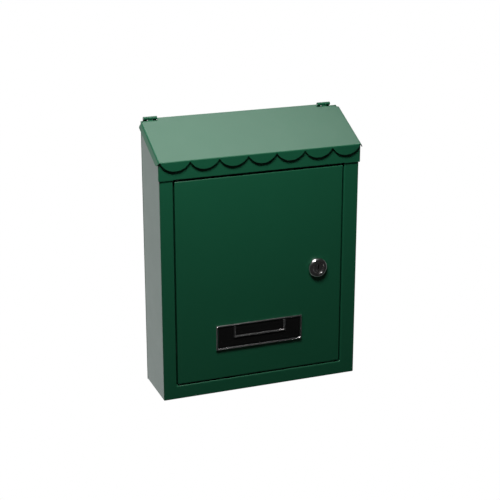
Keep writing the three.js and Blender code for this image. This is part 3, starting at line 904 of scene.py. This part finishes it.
    def fascia(self) -> bpy.types.Object:
        """Band across the front: its face, two wings that slope with the lid, and the pivot's return."""
        low, high = extent("fascia")
        front, bottom = low[1], low[2]
        slope, gap = self.layout.slope, self.band_clearance
        wing_end = front + self.band_wing
        left, right = self.open_left + self.fascia_inset, self.open_right - self.fascia_inset
        xs = cuts(low[0], left, self.cell_x, right, high[0])
        ys = cuts(front, wing_end)
        skin = Skin()
        top = float(slope.under(front, gap))
        skin.tile(Plane(X, Z, -Y, front * Y), xs, cuts(bottom, top))
        rows = np.stack([np.full(2, bottom), slope.under(ys, gap)])
        for x, out in ends(low, high, 0):
            skin.tile(Plane(Y, Z, out, x * X), ys, rows)
        pivot = Spot(*self.pivot_spot, self.layout.pivot_hole)
        skin.tile(Plane(X, Y, -Z, bottom * Z), xs[1:-1], cuts(front, self.cell_y, high[1]), spots=[pivot])
        return folded(skin.build("fascia_sheet"), self.layout.sheet, self.band_fold)

    def build(self, palette: Palette) -> None:
        """Makes and dresses the three sheets."""
        palette.dress(self.shell(), Slot.PAINT, Body.BOX, "body_shell")
        palette.dress(self.back(), Slot.PAINT, Body.BOX, "back_panel")
        palette.dress(self.fascia(), Slot.PAINT, Body.BOX, "fascia")


def carried(path: Array, ends: tuple[float, float]) -> Array:
    """A path of y and z carried across from one x to another, as a grid [point, end, 3]."""
    points = np.zeros((len(path), 2, 3))
    points[:, :, 0] = ends
    points[:, :, 1:] = path[:, None, :]
    return points


# ---------------------------------------------------------------- the lid


@dataclass
class Lid:
    """Sloping lid with bent skirts, a scalloped flange and two rolled hinges with their pins."""

    layout: Layout
    scallops: int = 7
    scallop_depth: float = 9.7 * MM
    scallop_valley: float = 1.05 * MM
    scallop_margin: float = 0.35 * MM
    arc_steps: int = 18
    skirt_spread: float = math.radians(62)
    skirt_bend: float = 2.0 * MM
    skirt_depth: float = 4.6 * MM
    skirt_tip: float = 3.4 * MM
    skirt_mitre: float = 2.4 * MM
    skirt_setback: float = 6.6 * MM
    bend_steps: int = 10
    knuckle_gap: float = 0.4 * MM
    notch_clearance: float = 0.5 * MM
    roll_inner: float = 0.95 * MM
    fold: float = 0.86 * MM

    def __post_init__(self) -> None:
        """Works out the flat top's half width, and where the skirts and the notches end."""
        slope = self.layout.slope
        self.reach = self.skirt_bend * math.sin(self.skirt_spread)
        self.bend_depth = self.skirt_bend * (1 - math.cos(self.skirt_spread))
        run = (self.skirt_depth - self.bend_depth) / math.tan(self.skirt_spread)
        self.flat_half = float(extent("lid_panel")[1][0]) - self.reach - run
        self.skirt_end = slope.length - self.skirt_setback
        notch_y = 2 * self.layout.lid_axis[1] - self.notch_clearance
        self.notch = (notch_y - slope.fold_y) / math.cos(slope.angle)

    def scallop_edge(self, x: Array, half: float) -> Array:
        """Height of the flange's edge: equal arcs side by side, each through two valleys.

        The arc's radius comes from its half width and its rise, and the height is the arc's centre less
        the square root of the radius squared less the distance from its middle squared.

        Args:
            x: places across.
            half: half the flange's width.

        Returns:
            The heights.
        """
        pitch = 2 * half / self.scallops
        rise = self.scallop_depth - self.scallop_valley
        radius = (pitch**2 / 4 + rise**2) / (2 * rise)
        number = np.clip(np.floor((x + half) / pitch), 0, self.scallops - 1)
        off_middle = x + half - (number + 0.5) * pitch
        centre = self.layout.slope.fold_z - self.scallop_depth + radius
        return centre - np.sqrt(radius**2 - off_middle**2)

    def skirt_edge(self, s: Array) -> Array:
        """Depth of a skirt: a mitre at the front, then level, then a quarter circle down from the rear."""
        half = self.skirt_depth / 2
        mitre = self.skirt_tip + (self.skirt_depth - self.skirt_tip) * np.clip(s / self.skirt_mitre, 0, 1)
        into_round = np.clip(s - (self.skirt_end - half), 0, half)
        return np.minimum(mitre, half + np.sqrt(half**2 - into_round**2))

    def skirt(self, skin: Skin, s: Array, side: int) -> None:
        """Adds one skirt: an arc out of the flat top, then straight to its edge, at each place s.

        Along the arc the point is radius (sin turn, 1 - cos turn) past the top's side; from there it runs
        straight at the full turn until it is as deep as the edge.

        Args:
            skin: the lid's surface.
            s: places along the slope.
            side: -1 for the left, 1 for the right.
        """
        slope = self.layout.slope
        turn = np.linspace(0, self.skirt_spread, self.bend_steps + 1)
        arc = self.skirt_bend * np.stack([np.sin(turn), 1 - np.cos(turn)])
        share = np.linspace(0, 1, 4)[1:]
        deeper = (self.skirt_edge(s) - self.bend_depth)[:, None] * share
        out = np.hstack([np.tile(arc[0], (len(s), 1)), self.reach + deeper / math.tan(self.skirt_spread)])
        down = np.hstack([np.tile(arc[1], (len(s), 1)), self.bend_depth + deeper])
        across = side * (self.flat_half + out)
        points = (slope.origin + s[:, None, None] * slope.along + across[..., None] * X
                  + down[..., None] * slope.down)
        skin.grid(points, flip=side < 0)

    def panel(self) -> bpy.types.Object:
        """Top, flange, skirts and rolled tongues as the outer side of the sheet."""
        slope, wide = self.layout.slope, self.flat_half
        half = wide - self.scallop_margin
        left, right = (self.layout.knuckles(side) for side in ("left", "right"))
        notches = [(hinge[0][0] - self.knuckle_gap, hinge[2][1] + self.knuckle_gap)
                   for hinge in (left, right)]
        arcs = half * np.linspace(-1, 1, self.scallops * self.arc_steps + 1)
        xs = cuts(*arcs, *np.ravel(notches), *left[1], *right[1], -wide, wide)
        bend = self.skirt_end - self.skirt_depth / 2 * (1 - np.sin(np.linspace(0, math.pi / 2, 7)))
        rear = slope.length - self.layout.sheet * math.tan(slope.angle)
        ss = cuts(0, self.skirt_mitre, *bend, self.notch, rear)
        skin = Skin()

        corner = np.interp(xs, [-wide, notches[0][0], notches[1][1], wide], [1, 0, 0, 1])
        places = np.repeat(ss[:, None], len(xs), axis=1)
        places[-2] -= corner * (self.notch - self.skirt_end)
        closed = [(-wide, notches[0][1], self.notch, rear), (notches[1][0], wide, self.notch, rear)]
        skin.tile(Plane(X, slope.along, -slope.down, slope.origin), xs, places, open_areas=closed)

        across = xs[np.abs(xs) <= half + WELD]
        rows = np.stack([self.scallop_edge(across, half), np.full(len(across), slope.fold_z)])
        skin.tile(Plane(X, Z, -Y, slope.fold_y * Y), across, rows)
        for side in (-1, 1):
            self.skirt(skin, ss[ss <= self.skirt_end + WELD], side)

        axis = self.layout.lid_axis
        turn = self.layout.roll[:, None]
        ring = axis + self.roll_inner * (np.cos(turn) * slope.down + np.sin(turn) * slope.along)
        start = slope.origin + self.notch * slope.along
        path = np.vstack([start, ring])[:, 1:]
        for knuckle in (left[1], right[1]):
            skin.grid(carried(path, knuckle))
        return folded(skin.build("lid_sheet"), self.layout.sheet, self.fold)

    def pin(self, side: str) -> bpy.types.Object:
        """A hinge pin with domed ends."""
        low, high = extent(f"lid_hinge_pin_{side}")
        radius = (high[2] - low[2]) / 2
        corners = np.array([[0, low[0]], [radius, low[0]], [radius, high[0]], [0, high[0]]])
        spindle = Spindle(self.layout.lid_axis * (Y + Z), X, Y)
        return spindle.lathe(f"hinge_pin_{side}", rounded(corners, 0.4 * MM), 32)

    def build(self, palette: Palette) -> None:
        """Makes and dresses the lid and its pins."""
        palette.dress(self.panel(), Slot.PAINT, Body.LID, "lid_panel")
        for side in ("left", "right"):
            palette.dress(self.pin(side), Slot.ZINC, Body.BOX, f"lid_hinge_pin_{side}")


# ---------------------------------------------------------------- the door


@dataclass
class Door:
    """Door pan and its two pivots."""

    layout: Layout
    lock_cell: float = 13 * MM
    lock_hole: float = 8.3 * MM
    stud_hole: float = 1.6 * MM
    stud_cell: float = 4 * MM
    fold: float = 1.0 * MM
    stud_inset: float = 9.8 * MM
    pivot_head: float = 1.2 * MM
    pivot_radius: float = 1.5 * MM
    pivot_edge: float = 0.35 * MM

    @property
    def studs(self) -> tuple[list[float], float]:
        """Places across and height of the name plate's studs."""
        low, high = extent("name_frame")
        return [low[0] + self.stud_inset, high[0] - self.stud_inset], (low[2] + high[2]) / 2

    def pan(self) -> bpy.types.Object:
        """Skin and four flanges, with holes for the lock, the studs and the pivots."""
        low, high = extent("door_panel")
        pivot_x, pivot_y, _ = self.layout.door_axis
        lock_x, _, lock_z = self.layout.lock_axis
        studs_x, studs_z = self.studs
        xs = cuts(low[0], high[0], pivot_x + self.layout.pivot_cell, *beside(lock_x, self.lock_cell),
                  *beside(studs_x, self.stud_cell))
        zs = cuts(low[2], high[2], *beside(lock_z, self.lock_cell), *beside(studs_z, self.stud_cell))
        ys = cuts(low[1], pivot_y + self.layout.pivot_cell, high[1])
        skin = Skin()
        spots = [Spot(lock_x, lock_z, self.lock_hole), *(Spot(x, studs_z, self.stud_hole) for x in studs_x)]
        skin.tile(Plane(X, Z, -Y, low[1] * Y), xs, zs, spots=spots)
        pivot = Spot(pivot_x, pivot_y, self.layout.pivot_hole)
        for z, out in ends(low, high, 2):
            skin.tile(Plane(X, Y, out, z * Z), xs, ys, spots=[pivot])
        for x, out in ends(low, high, 0):
            skin.tile(Plane(Y, Z, out, x * X), ys, zs)
        return folded(skin.build("door_sheet"), self.layout.sheet, self.fold)

    def pivot(self, name: str, head_low: bool) -> bpy.types.Object:
        """A headed pivot pin.

        Args:
            name: top or bottom.
            head_low: whether the head is at its lower end.

        Returns:
            The pin.
        """
        low, high = extent(f"door_pivot_{name}")
        head_radius, radius = (high[0] - low[0]) / 2, self.pivot_radius
        start, end = (low[2], high[2]) if head_low else (high[2], low[2])
        step = self.pivot_head if head_low else -self.pivot_head
        corners = np.array([[0, start], [head_radius, start], [head_radius, start + step],
                            [radius, start + step], [radius, end], [0, end]])
        spindle = Spindle(self.layout.door_axis * (X + Y), Z, X)
        return spindle.lathe(f"pivot_{name}", rounded(corners, self.pivot_edge), 48)

    def build(self, palette: Palette) -> None:
        """Makes and dresses the pan and the pivots."""
        palette.dress(self.pan(), Slot.PAINT, Body.DOOR, "door_panel")
        palette.dress(self.pivot("top", True), Slot.ZINC, Body.DOOR, "door_pivot_top")
        palette.dress(self.pivot("bottom", False), Slot.ZINC, Body.DOOR, "door_pivot_bottom")


# ---------------------------------------------------------------- the lock


@dataclass
class CamLock:
    """Cam lock: chrome housing and plug, nut, washers, cam and screw."""

    layout: Layout
    plug_radius: float = 5.6 * MM
    bore: float = 5.9 * MM
    barrel: float = 8 * MM
    thread_pitch: float = 1.0 * MM
    thread_depth: float = 0.45 * MM
    keyway: tuple[float, float, float] = (1.4 * MM, 6.4 * MM, 9 * MM)
    tail: float = 6.4 * MM
    hole: float = 2.3 * MM
    head_depth: float = 3.6 * MM
    rim_height: float = 0.7 * MM
    ring_width: float = 1.25 * MM
    hole_depth: float = 5 * MM
    arm_half: float = 5 * MM
    sides: int = 96

    def __post_init__(self) -> None:
        """Sets the spindle that the lock's pieces are turned about."""
        self.spindle = Spindle(self.layout.lock_axis * (X + Z), Y, X)

    def housing(self) -> bpy.types.Object:
        """Domed bezel with fine rings round the plug, and a threaded barrel.

        The dome is a quarter of a rounded curve from the ring to the rim.  The thread's radius falls as a
        triangle wave of height over the pitch plus turn over a full circle.
        """
        low, high = extent("lock_housing")
        rim = (high[0] - low[0]) / 2
        front, back = low[1], high[1]
        seat = front + self.head_depth
        rim_start = seat - self.rim_height
        ring = self.bore + self.ring_width
        swell = np.linspace(0, math.pi / 2, 16)
        dome_r = ring + (rim - ring) * np.sin(swell)
        dome_y = front + (rim_start - front) * (1 - np.cos(swell))
        face = np.array([
            [self.bore, front + 0.9 * MM], [self.bore, front + 0.25 * MM], [self.bore + 0.2 * MM, front],
            [self.bore + 0.5 * MM, front], [self.bore + 0.62 * MM, front + 0.14 * MM],
            [self.bore + 0.82 * MM, front + 0.14 * MM], [self.bore + 0.94 * MM, front],
        ])
        rim_rows = rounded(np.array([[rim, rim_start], [rim, seat], [self.barrel, seat]]), 0.2 * MM)
        head = np.vstack([face, np.stack([dome_r, dome_y], axis=-1), rim_rows[1:]])
        turn = around(self.sides)[None, :]
        thread_y = np.arange(seat + 0.3 * MM, back - 0.5 * MM, self.thread_pitch / 8)[:, None]
        wave = np.abs(((thread_y / self.thread_pitch + turn / TURN) % 1) * 2 - 1)
        tail = np.array([[self.barrel - self.thread_depth, back], [self.bore, back]])
        radius = np.vstack([
            np.repeat(head[:, :1], self.sides, axis=1), self.barrel - self.thread_depth * wave,
            np.repeat(tail[:, :1], self.sides, axis=1),
        ])
        height = np.concatenate([head[:, 1], thread_y[:, 0], tail[:, 1]])[:, None]
        return self.spindle.turned("lock_bezel", radius, height, turn[0], ring=True)

    def plug(self) -> bpy.types.Object:
        """Plug with its keyway, square tail and screw hole, as one run of outlines from end to end.

        The outlines are the keyway's floor and mouth, the face's fine groove, the round body, the square
        tail and the hole; each is a radius round the axis.
        """
        low, high = extent("lock_plug")
        front, end = low[1], high[1]
        width, tall, deep = self.keyway
        half = self.tail / 2
        corner = math.atan2(tall, width)
        turn = around(self.sides, *(c + q for q in (0, math.pi) for c in (corner, -corner)),
                      *(math.pi / 4 + k * math.pi / 2 for k in range(4)))
        slot = box_outline(turn, width / 2, tall / 2)
        wide_slot = box_outline(turn, width / 2 + 0.15 * MM, tall / 2 + 0.15 * MM)
        square = box_outline(turn, half, half)
        r, step = self.plug_radius, extent("lock_housing")[1][1]
        flat = np.ones_like(turn)
        rows = [
            (0 * flat, front + deep), (slot, front + deep), (slot, front + 0.15 * MM), (wide_slot, front),
            (np.maximum(wide_slot + 0.2 * MM, 3.9 * MM), front),
            (4.3 * MM * flat, front), (4.4 * MM * flat, front + 0.12 * MM),
            (4.6 * MM * flat, front + 0.12 * MM), (4.7 * MM * flat, front),
            ((r - 0.25 * MM) * flat, front), ((r - 0.07 * MM) * flat, front + 0.07 * MM),
            (r * flat, front + 0.25 * MM), (r * flat, step), (square, step), (square, end - 0.2 * MM),
            (square - 0.2 * MM, end), (self.hole * flat, end), (self.hole * flat, end - self.hole_depth),
            (0 * flat, end - self.hole_depth),
        ]
        radius = np.stack([row[0] for row in rows])
        height = np.array([row[1] for row in rows])[:, None]
        obj = self.spindle.turned("lock_key_plug", radius, height, turn)
        even_shading(obj)
        return obj

    def plate(
        self, name: str, node: str, outer: Array, inner: Array, turn: Array, edge: float
    ) -> bpy.types.Object:
        """A flat ring between two outlines, as thick as its frame node.

        Args:
            name: the object's name.
            node: the frame node that gives its two faces.
            outer: outer radius at each turn.
            inner: inner radius at each turn.
            turn: the angles.
            edge: rounding of its edges.

        Returns:
            The object.
        """
        low, high = extent(node)
        radius = np.stack([inner, outer, outer, inner])
        height = np.array([low[1], low[1], high[1], high[1]])[:, None]
        return eased(self.spindle.turned(name, radius, height, turn, ring=True), edge, 2, 50)

    def washer(self, name: str, node: str, inner: float) -> bpy.types.Object:
        """A plain washer as wide as its frame node."""
        low, high = extent(node)
        turn = around(64)
        outer = (high[0] - low[0]) / 2 + 0 * turn
        return self.plate(name, node, outer, inner + 0 * turn, turn, 0.12 * MM)

    def nut(self) -> bpy.types.Object:
        """Hexagon nut whose corners are turned off by a cone on both faces."""
        low, high = extent("lock_nut")
        flat = (high[2] - low[2]) / 2
        turn = around(self.sides, *(k * math.pi / 3 for k in range(6)))
        outer = hexagon_outline(turn, flat)
        inner = self.barrel + 0.1 * MM + 0 * turn
        crown = np.minimum(outer, flat + 0.1 * MM)
        drop = (outer - crown) * 0.55
        radius = np.stack([inner, inner + 0.4 * MM, crown, outer, outer, crown, inner + 0.4 * MM, inner])
        height = np.stack([
            low[1] + 0.4 * MM + 0 * turn, low[1] + 0 * turn, low[1] + 0 * turn, low[1] + drop,
            high[1] - drop, high[1] + 0 * turn, high[1] + 0 * turn, high[1] - 0.4 * MM + 0 * turn,
        ])
        obj = self.spindle.turned("lock_hex_nut", radius, height, turn, ring=True)
        even_shading(obj)
        return obj

    def cam(self) -> bpy.types.Object:
        """Cam: a round head and an arm that hangs down with a round end, with a square hole.

        Along each ray the arm's outline is its half width over the sine of the angle from straight down,
        or the far side of the end's circle; the head's radius holds everywhere else.
        """
        low, high = extent("lock_cam")
        head = high[2] - self.layout.lock_axis[2]
        half = self.arm_half
        reach = self.layout.lock_axis[2] - low[2] - half
        turn = around(240, *(math.pi / 4 + k * math.pi / 2 for k in range(4)))
        direction = self.spindle.surface(np.ones(1), np.zeros(1), turn)[:, 2] - self.spindle.centre[2]
        off = np.arccos(np.clip(-direction, -1, 1))
        sine = np.maximum(np.sin(off), 1e-9)
        in_end = np.maximum(half**2 - (reach * sine) ** 2, 0)
        arm = np.where(off < math.atan2(half, reach), reach * np.cos(off) + np.sqrt(in_end), half / sine)
        outer = np.where(off < math.pi / 2, np.maximum(np.minimum(arm, reach + half), head), head)
        inner = box_outline(turn, self.tail / 2 + 0.1 * MM, self.tail / 2 + 0.1 * MM)
        return self.plate("lock_cam_arm", "lock_cam", outer, inner, turn, 0.2 * MM)

    def screw(self) -> bpy.types.Object:
        """Pan-head screw with a tapered cross recess and a threaded shank."""
        low, high = extent("cam_screw")
        head = (high[0] - low[0]) / 2
        top, tip = high[1], low[1]
        face = top - 2.4 * MM
        shank, depth, pitch = 2 * MM, 0.3 * MM, 0.7 * MM
        turn = around(96)
        arms = np.maximum(box_outline(turn, 1.9 * MM, 0.45 * MM), box_outline(turn, 0.45 * MM, 1.9 * MM))
        swell = np.linspace(math.pi / 2, 0, 9)[:, None]
        dome_r = (head - 1.4 * MM) + 1.4 * MM * np.cos(swell)
        dome_y = top - 1.5 * MM + 1.5 * MM * np.sin(swell)
        thread_y = np.arange(face - 0.2 * MM, tip + 0.8 * MM, -pitch / 8)[:, None]
        wave = np.abs(((thread_y / pitch + turn[None, :] / TURN) % 1) * 2 - 1)
        ones = np.ones((1, len(turn)))
        radius = np.vstack([
            0 * ones, 0.35 * arms[None, :], arms[None, :], np.maximum(arms[None, :], 2.1 * MM),
            dome_r * ones, head * ones, shank * ones, shank - depth * wave, 1.2 * MM * ones, 0 * ones,
        ])
        height = np.concatenate([
            [top - 1.3 * MM, top - 1.3 * MM, top, top], dome_y[:, 0], [face, face], thread_y[:, 0],
            [tip, tip],
        ])[:, None]
        return self.spindle.turned("cam_pan_screw", radius, height, turn)

    def build(self, palette: Palette) -> None:
        """Makes and dresses the lock's pieces."""
        palette.dress(self.housing(), Slot.CHROME, Body.DOOR, "lock_housing")
        palette.dress(self.washer("lock_flat_washer", "lock_washer", self.barrel + 0.2 * MM),
                      Slot.ZINC, Body.DOOR, "lock_washer")
        palette.dress(self.nut(), Slot.ZINC, Body.DOOR, "lock_nut")
        palette.dress(self.plug(), Slot.CHROME, Body.LOCK, "lock_plug")
        palette.dress(self.cam(), Slot.ZINC, Body.LOCK, "lock_cam")
        palette.dress(self.washer("cam_flat_washer", "cam_washer", self.hole), Slot.ZINC, Body.LOCK,
                      "cam_washer")
        palette.dress(self.screw(), Slot.ZINC, Body.LOCK, "cam_screw")


# ---------------------------------------------------------------- the name plate


@dataclass
class NamePlate:
    """Chrome frame and card retainer on a black backing, held by two studs with push nuts."""

    door: Door
    bead: float = 2 * MM
    bead_profile: tuple[tuple[float, float], ...] = (
        (0.0, 0.0), (0.0, 0.5), (0.28, 0.92), (0.5, 1.0), (0.72, 0.8), (0.84, 0.42), (1.0, 0.3), (1.0, 0.0),
    )
    stud: float = 1.3 * MM
    nut_teeth: int = 6

    def run(
        self, name: str, node: str, corners: Array, edge: float, loop: bool = False
    ) -> bpy.types.Object:
        """The bead's section carried round a rectangle's corners and mitred there.

        Args:
            name: the object's name.
            node: the frame node that gives the rectangle and the bead's height.
            corners: side across, side up and the share of the inset up, for each corner.
            edge: rounding of the section's corners.
            loop: whether the last corner joins the first; otherwise both ends are closed.

        Returns:
            The object.
        """
        low, high = extent(node)
        section = np.array(self.bead_profile) * np.array([self.bead, high[1] - low[1]])
        centre, half = (low + high) / 2, (high - low) / 2
        across, up, mitre = corners.T[:, None]
        inset = section[:, :1]
        points = np.empty((len(section), 4, 3))
        points[:, :, 0] = centre[0] + across * (half[0] - inset)
        points[:, :, 1] = high[1] - section[:, 1:]
        points[:, :, 2] = centre[2] + up * (half[2] - mitre * inset)
        if not loop:
            middle = points.mean(axis=0, keepdims=True)[:, [0, -1]].repeat(len(section), axis=0)
            points = np.concatenate([middle[:, :1], points, middle[:, 1:]], axis=1)
        skin = Skin()
        skin.grid(points, wrap=(True, loop))
        return eased(skin.build(name, closed=True), edge, 3, 20)

    def frame(self) -> bpy.types.Object:
        """A closed run of bead round the plate."""
        corners = np.array([[-1, -1, 1], [1, -1, 1], [1, 1, 1], [-1, 1, 1]], float)
        return self.run("plate_frame", "name_frame", corners, 0.16 * MM, loop=True)

    def retainer(self) -> bpy.types.Object:
        """The same bead in a U, open at the top."""
        corners = np.array([[-1, 1, 0], [-1, -1, 1], [1, -1, 1], [1, 1, 0]], float)
        return self.run("card_retainer", "name_retainer", corners, 0.14 * MM)

    def backing(self) -> bpy.types.Object:
        """Black plate with two studs that grow out of its rear face."""
        low, high = extent("name_backing")
        back = extent("name_frame")[1][1]
        studs_x, studs_z = self.door.studs
        cell = self.door.stud_cell
        xs = cuts(low[0], high[0], *beside(studs_x, cell))
        zs = cuts(low[2], high[2], *beside(studs_z, cell))
        ys = cuts(low[1], back)
        skin = Skin()
        skin.tile(Plane(X, Z, -Y, low[1] * Y), xs, zs)
        rear = Plane(X, Z, Y, back * Y)
        skin.tile(rear, xs, zs, spots=[Spot(x, studs_z, self.stud) for x in studs_x])
        for z, out in ends(low, high, 2):
            skin.tile(Plane(X, Y, out, z * Z), xs, ys)
        for x, out in ends(low, high, 0):
            skin.tile(Plane(Y, Z, out, x * X), ys, zs)
        turn = TURN * np.arange(Skin.CIRCLE) / Skin.CIRCLE
        radius = self.stud * np.array([1, 1, 0.8, 0])[:, None]
        height = np.array([back, high[1] - 0.3 * MM, high[1], high[1]])[:, None]
        for x in studs_x:
            u, v = x + radius * np.cos(turn), studs_z + radius * np.sin(turn)
            skin.grid(rear.at(u, v, back - height + 0 * u), wrap=(False, True), flip=True)
        return eased(skin.build("plate_backing", closed=True), 0.2 * MM, 3, 40)

    def push_nut(self, side: str, x: float) -> bpy.types.Object:
        """Thin dished push nut: slots between its teeth open the bore as a squared-off cosine wave."""
        low, high = extent(f"name_nut_{side}")
        _, studs_z = self.door.studs
        outer = (high[0] - low[0]) / 2
        turn = around(96)
        slots = np.clip(0.5 + 2.5 * np.cos(self.nut_teeth * turn), 0, 1)
        inner = self.stud + 0.05 * MM + slots * 1.1 * MM
        rim = outer + 0 * turn
        thick = 0.22 * MM
        radius = np.stack([inner, 0.75 * rim, rim, rim, 0.75 * rim, inner])
        height = np.array([high[1] - thick, low[1] + 0.05 * MM, low[1], low[1] + thick,
                           low[1] + 0.05 * MM + thick, high[1]])[:, None]
        spindle = Spindle(x * X + studs_z * Z, Y, X)
        obj = spindle.turned(f"stud_nut_{side}", radius, height, turn, ring=True)
        even_shading(obj)
        return obj

    def build(self, palette: Palette) -> None:
        """Makes and dresses the plate's pieces."""
        palette.dress(self.frame(), Slot.CHROME, Body.DOOR, "name_frame")
        palette.dress(self.retainer(), Slot.CHROME, Body.DOOR, "name_retainer")
        palette.dress(self.backing(), Slot.PLASTIC, Body.DOOR, "name_backing")
        for side, x in zip(("left", "right"), self.door.studs[0]):
            palette.dress(self.push_nut(side, x), Slot.ZINC, Body.DOOR, f"name_nut_{side}")


# ---------------------------------------------------------------- studio


@dataclass(frozen=True)
class SoftBox:
    """A rectangular light: where it stands, what it looks at, its size and its power."""

    name: str
    place: tuple[float, float, float]
    size: tuple[float, float]
    power: float
    target: tuple[float, float, float] = (0.0, -0.03, 0.0)

    def hang(self) -> None:
        """Adds the light, hidden from the camera."""
        light = bpy.data.lights.new(self.name, "AREA")
        light.shape = "RECTANGLE"
        light.size, light.size_y = self.size
        light.energy = self.power
        obj = bpy.data.objects.new(self.name, light)
        obj.location = self.place
        aim = Vector(self.target) - Vector(self.place)
        obj.rotation_euler = aim.to_track_quat("-Z", "Y").to_euler()
        obj.visible_camera = False
        bpy.context.scene.collection.objects.link(obj)


@dataclass
class Studio:
    """White floor and surroundings, soft boxes, and the camera."""

    azimuth: float = math.radians(-20.68)
    elevation: float = math.radians(18.76)
    distance: float = 1.354
    lens: float = 95.03
    target: tuple[float, float, float] = (0.0, -0.0269, -0.0014)
    floor_z: float = -0.14
    floor_half: float = 4.0
    lights: tuple[SoftBox, ...] = field(default=(
        SoftBox("overhead", (0.25, 0.36, 1.2), (0.85, 0.62), 5.2),
        SoftBox("key", (-0.16, -0.34, 0.62), (0.24, 0.14), 6.7),
    ))

    def floor(self, surface: bpy.types.Material) -> None:
        """A plain floor under the box."""
        half, z = self.floor_half, self.floor_z
        mesh = bpy.data.meshes.new("floor")
        mesh.from_pydata([(-half, -half, z), (half, -half, z), (half, half, z), (-half, half, z)], [],
                         [(0, 1, 2, 3)])
        mesh.materials.append(surface)
        obj = bpy.data.objects.new("floor", mesh)
        bpy.context.scene.collection.objects.link(obj)
        obj.visible_glossy = False

    @staticmethod
    def floor_material() -> bpy.types.Material:
        """White to the camera, and a matt white to everything else."""
        material = bpy.data.materials.new("floor_white")
        material.use_nodes = True
        graph = Graph(material.node_tree)
        matt = graph.add("BsdfDiffuse", {"Color": (0.1, 0.1, 0.1, 1)}).outputs[0]
        graph.add("OutputMaterial", {"Surface": graph.seen_white("Emission", matt)})
        return material

    @staticmethod
    def surroundings() -> None:
        """White to the camera; otherwise bright behind and beside the box, and dark in front of it."""
        world = bpy.data.worlds.new("surroundings")
        bpy.context.scene.world = world
        world.use_nodes = True
        graph = Graph(world.node_tree)
        direction = graph.add("TexCoord").outputs["Generated"]
        parts = graph.add("SeparateXYZ", {0: direction}).outputs
        behind = graph.ramp(parts["Y"], (-0.2, 0.4), (0.0, 1.0))
        low = graph.ramp(parts["Z"], (0.2, 0.55), (1.0, 0.0))
        glow = graph.math("ADD", graph.math("MULTIPLY", graph.math("MULTIPLY", behind, low), 1.1), 0.015)
        around_box = graph.add("Background", {"Color": (0.96, 1.0, 1.0, 1), "Strength": glow}).outputs[0]
        graph.add("OutputWorld", {"Surface": graph.seen_white("Background", around_box)})

    def camera(self) -> None:
        """A long lens above and to the left of the front."""
        data = bpy.data.cameras.new("camera")
        data.lens = self.lens
        data.sensor_width = 36.0
        data.clip_start, data.clip_end = 0.05, 50.0
        obj = bpy.data.objects.new("camera", data)
        flat = math.cos(self.elevation)
        away = Vector((math.sin(self.azimuth) * flat, -math.cos(self.azimuth) * flat,
                       math.sin(self.elevation)))
        obj.location = Vector(self.target) + self.distance * away
        obj.rotation_euler = (-away).to_track_quat("-Z", "Y").to_euler()
        bpy.context.scene.collection.objects.link(obj)
        bpy.context.scene.camera = obj

    def build(self) -> None:
        """Sets up the camera, the lights and the floor."""
        self.camera()
        self.surroundings()
        self.floor(self.floor_material())
        for light in self.lights:
            light.hang()
        bpy.context.scene.view_settings.view_transform = "Standard"


# ---------------------------------------------------------------- main


def main() -> None:
    """Builds every sub-assembly round the frame."""
    logging.basicConfig(level=logging.INFO, format="%(message)s")
    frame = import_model()
    Studio().build()
    palette = Palette.mixed()
    layout = Layout.measured(frame, Lid.scallop_depth)
    door = Door(layout)
    for assembly in (Housing(layout), Lid(layout), door, CamLock(layout), NamePlate(door)):
        assembly.build(palette)
    bpy.context.view_layer.update()


if __name__ == "__main__":
    main()
